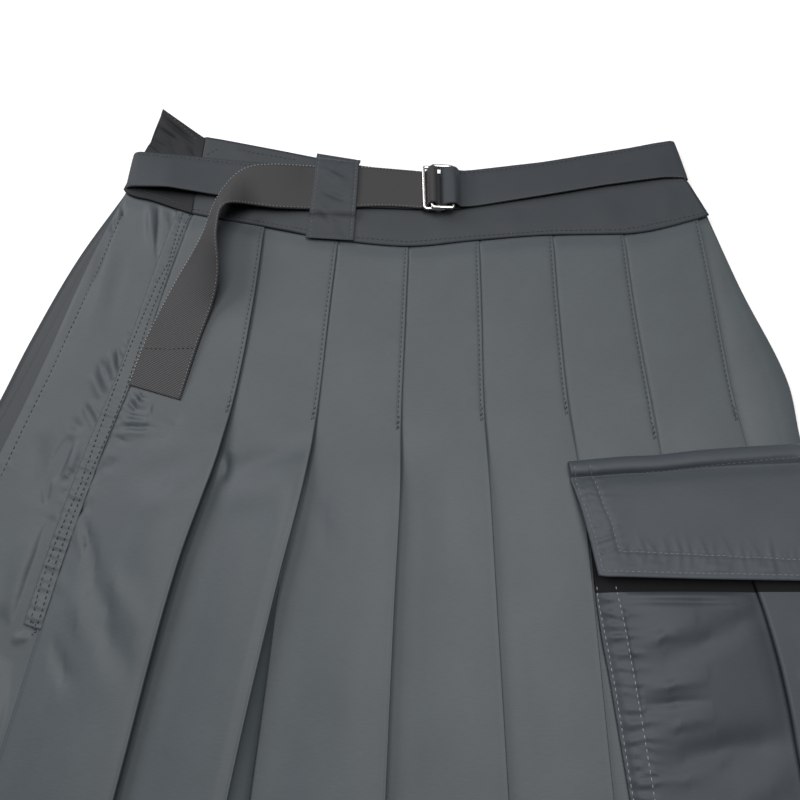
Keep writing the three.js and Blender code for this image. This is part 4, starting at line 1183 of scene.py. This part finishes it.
def twill_webbing(name, colour, shade):
    """Polyester webbing in a steep twill: ribs lean across it, clear near its tip and pressed flat beyond,
    where its tone is also darkened as painted shade.

    The ribs are really about 1 mm apart; they are drawn 1.7 mm apart, to show at this distance.
    """
    rib_pitch, pick_pitch, lean = 1.7 * MM, 0.9 * MM, -1.15
    shaded_flat_tone = 0.28
    material = new_material(name)
    uv = add_node(material, "TexCoord").outputs["UV"]
    place = add_node(material, "SeparateXYZ", {"Vector": uv}).outputs
    leaned = add_node(material, "Math", {0: place["Y"], 1: lean, 2: place["X"]}, operation="MULTIPLY_ADD")
    turns = add_node(material, "Math", {0: leaned, 1: 2 * math.pi / rib_pitch}, operation="MULTIPLY")
    ribs = add_node(material, "Math", {0: turns}, operation="SINE")
    picks = add_node(material, "Math", {0: place["Y"], 1: 2 * math.pi / pick_pitch}, operation="MULTIPLY")
    pick_wave = add_node(material, "Math", {0: picks}, operation="SINE")
    weave = add_node(material, "Math", {0: pick_wave, 1: 0.35, 2: ribs}, operation="MULTIPLY_ADD")
    share = add_node(material, "MapRange", {"Value": weave, "From Min": -1.3, "From Max": 1.3})
    # Beyond the tip the ribs fade to a lower tone: fainter ribs, and painted shade on the turned and flat
    # run
    from_end = {"Value": place["X"], "From Min": 55 * MM, "From Max": 85 * MM, "To Min": 1.0, "To Max": 0.25}
    clearness = add_node(material, "MapRange", from_end)
    plain = add_node(material, "Math", {0: share, 1: shaded_flat_tone}, operation="SUBTRACT")
    seen = add_node(material, "Math", {0: plain, 1: clearness, 2: shaded_flat_tone}, operation="MULTIPLY_ADD")
    colours = {"Factor": seen, "A": linear(shade), "B": linear(colour)}
    tone = add_node(material, "Mix", colours, data_type="RGBA")
    relief = add_node(material, "Bump", {"Height": seen, "Strength": 0.7, "Distance": 0.25 * MM})
    surface = {
        "Base Color": tone,
        "Normal": relief,
        "Roughness": 0.72,
        "IOR": 1.45,
        "Sheen Weight": 0.05,
        "Sheen Roughness": 0.4,
    }
    return surfaced(material, surface)


webbing = twill_webbing("polyester_twill_webbing", "#474648", "#151416")
webbing_edge_thread = polyester_thread("selvedge_thread", "#8b8a88")


def make_free_end():
    stations = np.array(FREE_END[::-1], float)
    outer, inner = stations[:, :3], stations[:, 3:]
    share = np.linspace(0, 1, 17)[:, None, None]
    corners = (outer + (inner - outer) * share) * MM
    stand = np.clip((inner[:, 2] - outer[:, 2]) / CURL["full_stand"], 0, 1)
    corners[..., 0] -= CURL["depth"] * stand * np.sin(np.pi * share[..., 0])
    middle = corners[len(share) // 2]
    points = rounded(corners, [WEBBING_BEND] * len(stations), points_along(middle, 1.6))
    return cloth("free_end_webbing", points, webbing, "belt_free_end", WEBBING_SHELL)


free_end = make_free_end()
outer_track = edge_track("free_end_webbing", 0.015, 0.01, 0.93)
inner_track = edge_track("free_end_webbing", 0.965, 0.01, 0.93)
hem_across = np.linspace(0.04, 0.96, 60)
hem_track = grid_track("free_end_webbing", hem_across, 0.1 + 0 * hem_across)
free_end_rows = [
    stitch_tracks("free_end_stitches", [outer_track], webbing_edge_thread, pitch=2.1, mark=1.2, radius=0.33),
    stitch_tracks("free_end_inner_stitches", [inner_track], grey_thread, pitch=2.1, mark=1.0, radius=0.17),
    stitch_tracks("free_end_hem", [hem_track], dark_thread, pitch=2.6, mark=1.7, radius=0.34),
]
sheet_of(free_end, (320, 30))


# Belt loops
# Folded strips of the band's satin. The front one is sewn above and below the belt and bulges over
# it, with stitches down both sides. The two at the back are hidden under the skirt.

# Rows down the front loop: y at its left and right edges, x of those edges, and height, in millimetres
FRONT_LOOP = [
    (63.1, 57.9, -51.4, -24.3, 5.9),
    (60.4, 55.3, -51.5, -24.5, 6.3),
    (57.3, 54.1, -51.6, -24.8, 9.0),
    (54.6, 52.4, -51.7, -25, 9.5),
    (40, 37.7, -52.1, -25.4, 9.4),
    (24.5, 22, -53.6, -26.2, 8.9),
    (20.4, 19, -54, -26.4, 8.4),
    (17.4, 16, -54.4, -26.6, 6.1),
    (10, 8.5, -55.2, -27, 5.7),
    (3.2, 1.3, -56, -27.4, 5.7),
]
# The back loops' middles across, their width and overlap on the seam, and the rows over the belt: up from
# its top edge, and height, in millimetres
BACK_LOOPS = {"belt_loop_back_left": -92, "belt_loop_back_right": 108}
BACK_LOOP = {"width": 28, "from_seam": 2.5}
BACK_LOOP_ROWS = [(3.8, 1.8), (2.6, 1.8), (1.3, 0.5), (-14, 0.5)]
LOOP_BEND = 3.5 * MM
# The front loop's two rows of stitches: across at the upper and at the lower end, in millimetres
LOOP_SIDES = [(-49.8, -54.2), (-26.4, -29.2)]
LOOP_CREASES = [
    (-50, 50, -30, 38, 2, 1), (-48, 34, -30, 26, 2, -1), (-46, 46, -34, 56, 1.6, 0.8),
    (-50, 24, -34, 8, 2.4, 1.2), (-44, 20, -30, 2, 2, -0.6),
]


def loop_grid(rows, columns=29, step=1.0):
    left_y, right_y, left_x, right_x, z = np.array(rows, float).T
    share = np.linspace(0, 1, columns)[:, None]
    x = left_x + (right_x - left_x) * share
    corners = np.stack([x, left_y + (right_y - left_y) * share, z + 0 * x], axis=2) * MM
    return rounded(corners, [LOOP_BEND] * len(rows), points_along(corners[0], step)).transpose(1, 0, 2)


def make_loops():
    front = creased(loop_grid(FRONT_LOOP), LOOP_CREASES)
    for k, (high_x, low_x) in enumerate(LOOP_SIDES):
        row = [(high_x, 60), (low_x, 2.5)]
        front = sewn_in(front, row, depth=0.35, puckers=0.25, reach=2.2, pitch=3, seed=80 + k, width=0.7)
    pieces = [cloth("front_loop_cloth", front, band_satin, "belt_loop_front")]
    for node, middle in BACK_LOOPS.items():
        sides = (middle - BACK_LOOP["width"] / 2, middle + BACK_LOOP["width"] / 2)
        tops = [through(BELT_TOP, x) - through(BACK_DROP, x) for x in sides]
        ends = [even(*zip(*SEAM), x) + BACK_LOOP["from_seam"] for x in sides]
        rows = [(tops[0] + up, tops[1] + up, *sides, z) for up, z in BACK_LOOP_ROWS] + [(*ends, *sides, 0.5)]
        pieces.append(cloth(node + "_cloth", loop_grid(rows, 9, 3), band_satin, node))
    return pieces


front_loop, back_loop_left, back_loop_right = make_loops()
down_loop = np.linspace(0.01, 0.99, 60)
loop_tracks = [grid_track("front_loop_cloth", down_loop, share + 0 * down_loop) for share in (0.07, 0.93)]
loop_tracks += [grid_track("front_loop_cloth", 0.965 + 0 * down_loop, 0.05 + 0.9 * down_loop)]
loop_stitches = stitch_tracks(
    "front_loop_stitches", loop_tracks, selvedge_thread, pitch=2.7, mark=1.8, radius=0.2
)
sheet_of(front_loop, (29, 66))
sheet_of(back_loop_left, (28, 54))
sheet_of(back_loop_right, (28, 58))


# Buckle rings
# Two equal rectangular rings of nickel-plated steel bar, polished bright, with rounded corners. Both
# hang in the belt's sewn end, and the free end is threaded round the upper and under the lower one.
RING = {"width": 14.4, "height": 31, "bar": 1.9, "corner": 1.3, "sides": 16, "roundness": 0.55}
RING_PLACES = {
    "ring_lower": {"place": (20.7, 35.8, 9.0), "tilt": 0.085, "turn": 0.02},
    "ring_upper": {"place": (25.5, 35.2, 11.3), "tilt": 0.085, "turn": 0.0},
}


def polished_nickel():
    """Polished nickel plate on steel: a clear, slightly warm mirror with faint rubbing marks."""
    marks_per_metre = 700.0
    material = new_material("polished_nickel_plate")
    place = add_node(material, "TexCoord").outputs["Object"]
    marks = add_node(material, "TexNoise", {"Vector": place, "Scale": marks_per_metre, "Detail": 4.0})
    gloss = add_node(material, "MapRange", {"Value": marks, "To Min": 0.2, "To Max": 0.34})
    return surfaced(material, {"Base Color": linear("#f0eee8"), "Metallic": 1.0, "Roughness": gloss})


def make_ring(node, settings, material):
    """A closed bar, square with well rounded edges, swept round a rectangle with rounded corners."""
    corner = RING["corner"]
    straight_x = (RING["width"] - RING["bar"]) / 2 - corner
    straight_y = (RING["height"] - RING["bar"]) / 2 - corner
    path, outward = [], []
    for k, (sx, sy) in enumerate(((1, 1), (-1, 1), (-1, -1), (1, -1))):
        for turn in np.linspace(k, k + 1, 7) * math.pi / 2:
            way = np.array([math.cos(turn), math.sin(turn), 0])
            path.append(np.array([sx * straight_x, sy * straight_y, 0]) + corner * way)
            outward.append(way)
    path, outward = np.array(path), np.array(outward)
    turns = np.arange(RING["sides"]) * 2 * math.pi / RING["sides"]
    section = np.stack([np.cos(turns), np.sin(turns)], axis=1)
    section = np.abs(section) ** RING["roundness"] * np.sign(section)
    up = np.array([0, 0, 1])
    points = np.stack([path + RING["bar"] / 2 * (a * outward + b * up) for a, b in section], axis=1)
    leaning = Matrix.Rotation(settings["tilt"], 3, "Y") @ Matrix.Rotation(settings["turn"], 3, "Z")
    points = points @ np.array(leaning).T + np.array(settings["place"])
    rows, columns = points.shape[:2]
    r, c = np.meshgrid(np.arange(rows), np.arange(columns), indexing="ij")
    here, after = r * columns, (r + 1) % rows * columns
    after_c = (c + 1) % columns
    faces = np.stack([here + c, after + c, after + after_c, here + after_c], axis=2)
    ring = smooth_mesh(node + "_bar", points * MM + WAIST, faces, material)
    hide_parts(node)
    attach(ring, "root")


nickel = polished_nickel()
for node, settings in RING_PLACES.items():
    make_ring(node, settings, nickel)


# Cargo pocket
# A patch pocket of satin sewn on over the pleats, double-stitched down its left side. A raised band
# down its middle lets it fill out; the cloth left of it bellies forward under the flap.

# Rows down the pocket: y, left edge, left fold of the band, right edge, and heights of the edge,
# the left part and the band, in millimetres
POCKET = [
    (-158, 98.4, 174, 215, 3.5, 5.9, 8.3),
    (-186, 98.4, 176, 222, 3.5, 6, 8.4),
    (-195, 98.5, 177.2, 224.2, 3.5, 5.9, 8.4),
    (-200.4, 98.6, 178.3, 225.4, 3.5, 6.1, 8.6),
    (-202.4, 98.7, 178.7, 225.9, 3.5, 8.6, 8.7),
    (-204.6, 98.7, 179.2, 226.4, 3.5, 10.5, 8.8),
    (-214, 99.2, 180.9, 228.6, 3.5, 11.1, 9.1),
    (-226, 100, 182.6, 231.5, 3.5, 10.9, 9.4),
    (-240, 101.6, 184.1, 235, 3.5, 10.1, 9.6),
    (-262, 103.6, 185.4, 240, 3.5, 8.8, 9.6),
    (-290, 106, 186.1, 247, 3.6, 7.2, 9.4),
    (-312, 108, 186.8, 251.5, 3.8, 6.8, 9.2),
    (-328, 109.2, 187.6, 255, 4, 6.9, 9),
    (-343, 110.6, 188.4, 258.5, 4.2, 6.2, 8.6),
    (-348, 111.2, 188.6, 260, 4.2, 5.9, 8.3),
]
POCKET_BAND = 40 * MM
POCKET_FOLD = 12 * MM
POCKET_Z = 5.75 * MM
POCKET_EDGE_Z = 6.2 * MM
# Rungs between the two rows at the side: pitch, shift either way, half length and least and most height
RUNGS = {"pitch": 6.5, "shift": 1.5, "half_length": 1.5, "height": (0.5, 1.1)}
POCKET_CREASES = [
    (108, -206.6, 176, -207.2, 1.6, -1.3), (110, -232, 148, -213, 2.55, 1.3),
    (120, -238, 182, -212, 5, -2), (112, -250, 150, -241, 2.38, 1.3), (114, -256, 148, -251, 2.21, -1.3),
    (114, -270, 150, -258, 2.55, 1.2), (114, -268, 150, -262, 3, -0.9), (118, -292, 166, -272, 3.4, 1.2),
    (118, -282, 192, -268, 8, -3.2), (150, -300, 182, -284, 5.1, 0.78),
    (150, -204, 176, -212, 4.25, 0.78), (140, -226, 178, -218, 4.25, 0.52),
    (118, -306, 160, -300, 5.1, 0.78), (120, -322, 164, -326, 5.95, 0.78),
    (200, -216, 214, -250, 4.25, 0.65), (190, -240, 212, -250, 2.55, 0.65),
]
POCKET_OUTER_ROW = [
    (99.6, -199), (99.9, -208), (102.2, -227.7), (104.3, -247.9), (106.2, -271.7), (108, -295.3),
    (110.6, -328), (112.2, -345), (186, -346), (254, -345),
]
POCKET_INNER_ROW = [
    (108.5, -199), (108.9, -203), (111.2, -221.2), (112.9, -239.8), (114.5, -259.5), (115.8, -276.8),
    (117.1, -295.2), (119.6, -326), (121, -336), (184, -338), (248, -337),
]

# Under the flap's lower edge the pocket is painted near-black: a painted shadow for the deep shade in the
# gap there
PAINTED_SHADOW_ABOVE = -202.6 * MM
painted_shadow_surface = {"Base Color": linear("#0b0c0e"), "Roughness": 0.95, "IOR": 1.4}
painted_flap_shadow = surfaced(new_material("painted_shadow_under_flap"), painted_shadow_surface)
# The pocket body is the flap's satin, its colour darkened as painted shade for the shade over the pocket
pocket_satin_painted_shade = satin("pocket_nylon_satin_painted_shade", "#33393f", "#2c3238", 0.6)
flap_satin = satin("interfaced_heavy_satin", "#383e44", "#31373d", 0.6)


def make_pocket():
    table = np.array(POCKET)[::-1] * MM
    y = np.linspace(table[-1, 0], table[0, 0], 190)
    left, fold, right, edge, mid, high = (even(table[:, 0], table[:, k], y) for k in range(1, 7))
    under = POCKET_Z + 0 * y
    far = fold + POCKET_BAND
    swell = mid - under
    section = [
        (left, edge, 0, 0),
        (left + 3 * MM, edge + 1.6 * MM, 2, 3),
        (left + 9 * MM, POCKET_EDGE_Z + 0 * y, 4, 6),
        (left + 20 * MM, (2 * mid + POCKET_EDGE_Z) / 3, 6, 9),
        (left + 0.45 * (fold - left), mid, 10, 11),
        (left + 0.72 * (fold - left), mid - 0.3 * swell, 7, 16),
        (fold - 8 * MM, under + 0.35 * swell, 4, 9),
        (fold - 2.4 * MM, under + 0.06 * swell, 1.5, 5),
        (fold, under, 0.8, 3),
        (fold + POCKET_FOLD, under, 0.6, 4),
        (fold + POCKET_FOLD, under + LAYER, 0.6, 1),
        (fold, high - LAYER, 0.6, 4),
        (fold, high, 0.6, 1),
        (fold + 0.5 * POCKET_BAND, high + 0.2 * MM, 12, 9),
        (far, high, 0.6, 9),
        (far, high - LAYER, 0.6, 1),
        (far - POCKET_FOLD, under + LAYER, 0.6, 4),
        (far - POCKET_FOLD, under, 0.6, 1),
        (np.maximum(far - 1 * MM, right - 12 * MM), under + 0.1 * MM, 1, 4),
        (np.maximum(far + 1 * MM, right - 4 * MM), under - 0.2 * MM, 1, 3),
        (right, 4.9 * MM + 0 * y, 0, 3),
    ]
    corners = np.array([(x, z) for x, z, _, _ in section]).transpose(2, 0, 1)
    cuts = [cut * MM for _, _, cut, _ in section]
    line = rounded(corners, cuts, [count for _, _, _, count in section])
    points = np.stack([line[..., 0], y[:, None] + 0 * line[..., 0], line[..., 1]], axis=2)
    points = creased(points, POCKET_CREASES)
    points = sewn_in(points, POCKET_INNER_ROW, depth=0.5, puckers=0.7, reach=8, pitch=5, seed=60)
    points = sewn_in(points, POCKET_OUTER_ROW, depth=0.35, puckers=0.35, reach=4, pitch=5, seed=61)
    random = np.random.default_rng(62)
    aside, along, _ = beside(points, POCKET_OUTER_ROW[:8])
    between_rows = np.exp(-(((aside - 4.5 * MM) / (3.2 * MM)) ** 2))
    for middle in np.arange(6, 140, RUNGS["pitch"]) * MM:
        middle += random.uniform(-RUNGS["shift"], RUNGS["shift"]) * MM
        rung = np.exp(-(((along - middle) / (RUNGS["half_length"] * MM)) ** 2)) * between_rows
        points[..., 2] += random.uniform(*RUNGS["height"]) * MM * rung
    piece = cloth("pocket_cloth", points, pocket_satin_painted_shade, "pocket_body")
    # Faces above that line take the painted shadow
    piece.data.materials.append(painted_flap_shadow)
    for face in piece.data.polygons:
        face.material_index = int(face.center.y - WAIST[1] > PAINTED_SHADOW_ABOVE)
    return piece


pocket = make_pocket()
pocket_rows = [POCKET_OUTER_ROW, POCKET_INNER_ROW]
pocket_stitches = topstitch(
    "pocket_stitches", pocket_rows, ["pocket_cloth"], grey_thread, pitch=3.0, mark=1.9, radius=0.22
)
sheet_of(pocket, (205, 192))


# Pocket flap
# Two layers of the same satin, bagged out and topstitched twice round the edge, hang from a stitched
# band at the pocket's mouth. It swells away from the band and its lower edge stands off the pocket.
FLAP_SHELL = 1.1 * MM
# Its edges: points on the page along the top and bottom, and pairs of a share of the way down and a place
# across for the sides. Then its height off the table at such shares, all in millimetres
FLAP_TOP = [(89.4, -134.6), (118, -131.9), (136, -131.2), (160, -128.3), (183, -126.6), (214, -124.7)]
FLAP_BOTTOM = [(98.8, -194.6), (103, -195.2), (153, -196.5), (200, -197.3), (229, -197.6)]
FLAP_LEFT = [(0, 89.3), (0.18, 89.9), (0.46, 93.7), (0.75, 96.8), (1, 98.8)]
FLAP_RIGHT = [(0, 213.5), (0.3, 216.5), (0.6, 221.5), (1, 227.5)]
FLAP_HEIGHT = [
    (0, 6.5), (0.03, 8), (0.08, 8.8), (0.115, 8.2), (0.14, 6.6), (0.17, 7),
    (0.24, 8.8), (0.34, 10), (0.45, 10.8), (0.8, 12.2), (0.97, 13.6), (1, 13.7),
]
# How its left corner settles towards the table: share of the width, and depth
FLAP_SETTLE = {"share": 0.08, "depth": 1.76}
FLAP_ROWS = {
    "band": [(92, -143), (126.3, -140.8), (158.7, -137.3), (170.5, -135.9), (212.4, -132.2)],
    "outer": [
        (91.9, -137.5), (93, -150), (99.2, -175), (101.1, -192.4),
        (153, -193.8), (200.4, -194.8), (226, -195),
    ],
    "inner": [
        (100.1, -136.9), (104.2, -155.7), (107.8, -167.7), (110, -182.6),
        (153, -184.6), (201.9, -187), (221, -187.4),
    ],
    "side": [(95.4, -146), (102, -175), (105.4, -190)],
}
FLAP_CREASES = [
    (112, -152, 112, -176, 6, 0.3), (150, -190, 166, -191, 2, 0.5), (176, -191, 190, -192, 2, 0.4),
    (204, -191, 216, -192, 2, 0.4), (120, -189, 134, -190, 1.8, 0.3), (140, -150, 190, -160, 12, 0.4),
    (150, -172, 200, -176, 10, -0.3),
]


def make_flap():
    share = np.linspace(0, 1, 76)[:, None]
    across = np.linspace(0, 1, 116)[None, :]
    left, right = through(FLAP_LEFT, share), through(FLAP_RIGHT, share)
    x = left + (right - left) * across
    high, low = through(FLAP_TOP, x), through(FLAP_BOTTOM, x)
    shares, heights = np.array(FLAP_HEIGHT).T
    settle = FLAP_SETTLE["depth"] * share * np.clip(1 - across / FLAP_SETTLE["share"], 0, 1)
    z = smooth(shares, heights, share) - settle
    points = np.stack([x, high + (low - high) * share, z + 0 * x], axis=2) * MM
    points = creased(points, FLAP_CREASES)
    points = sewn_in(points, FLAP_ROWS["band"], depth=0.5, puckers=0.1, reach=3, pitch=7, seed=70, width=1.2)
    points = sewn_in(points, FLAP_ROWS["outer"], depth=0.3, puckers=0.12, reach=3, pitch=6, seed=71)
    points = sewn_in(points, FLAP_ROWS["inner"], depth=0.35, puckers=0.45, reach=6, pitch=4.5, seed=72)
    points = sewn_in(points, FLAP_ROWS["side"], depth=0, puckers=0.8, reach=3.6, pitch=4.6, seed=73)
    return cloth("flap_cloth", points, flap_satin, "pocket_flap", FLAP_SHELL)


flap = make_flap()
edge_rows = [FLAP_ROWS["outer"], FLAP_ROWS["inner"]]
flap_stitches = topstitch(
    "flap_stitches", edge_rows, ["flap_cloth"], dim_thread, pitch=2.9, mark=1.9, radius=0.21
)
band_rows = [FLAP_ROWS["band"]]
flap_band = topstitch(
    "flap_band_stitches", band_rows, ["flap_cloth"], selvedge_thread, pitch=2.9, mark=1.9, radius=0.24
)
sheet_of(flap, (140, 74))
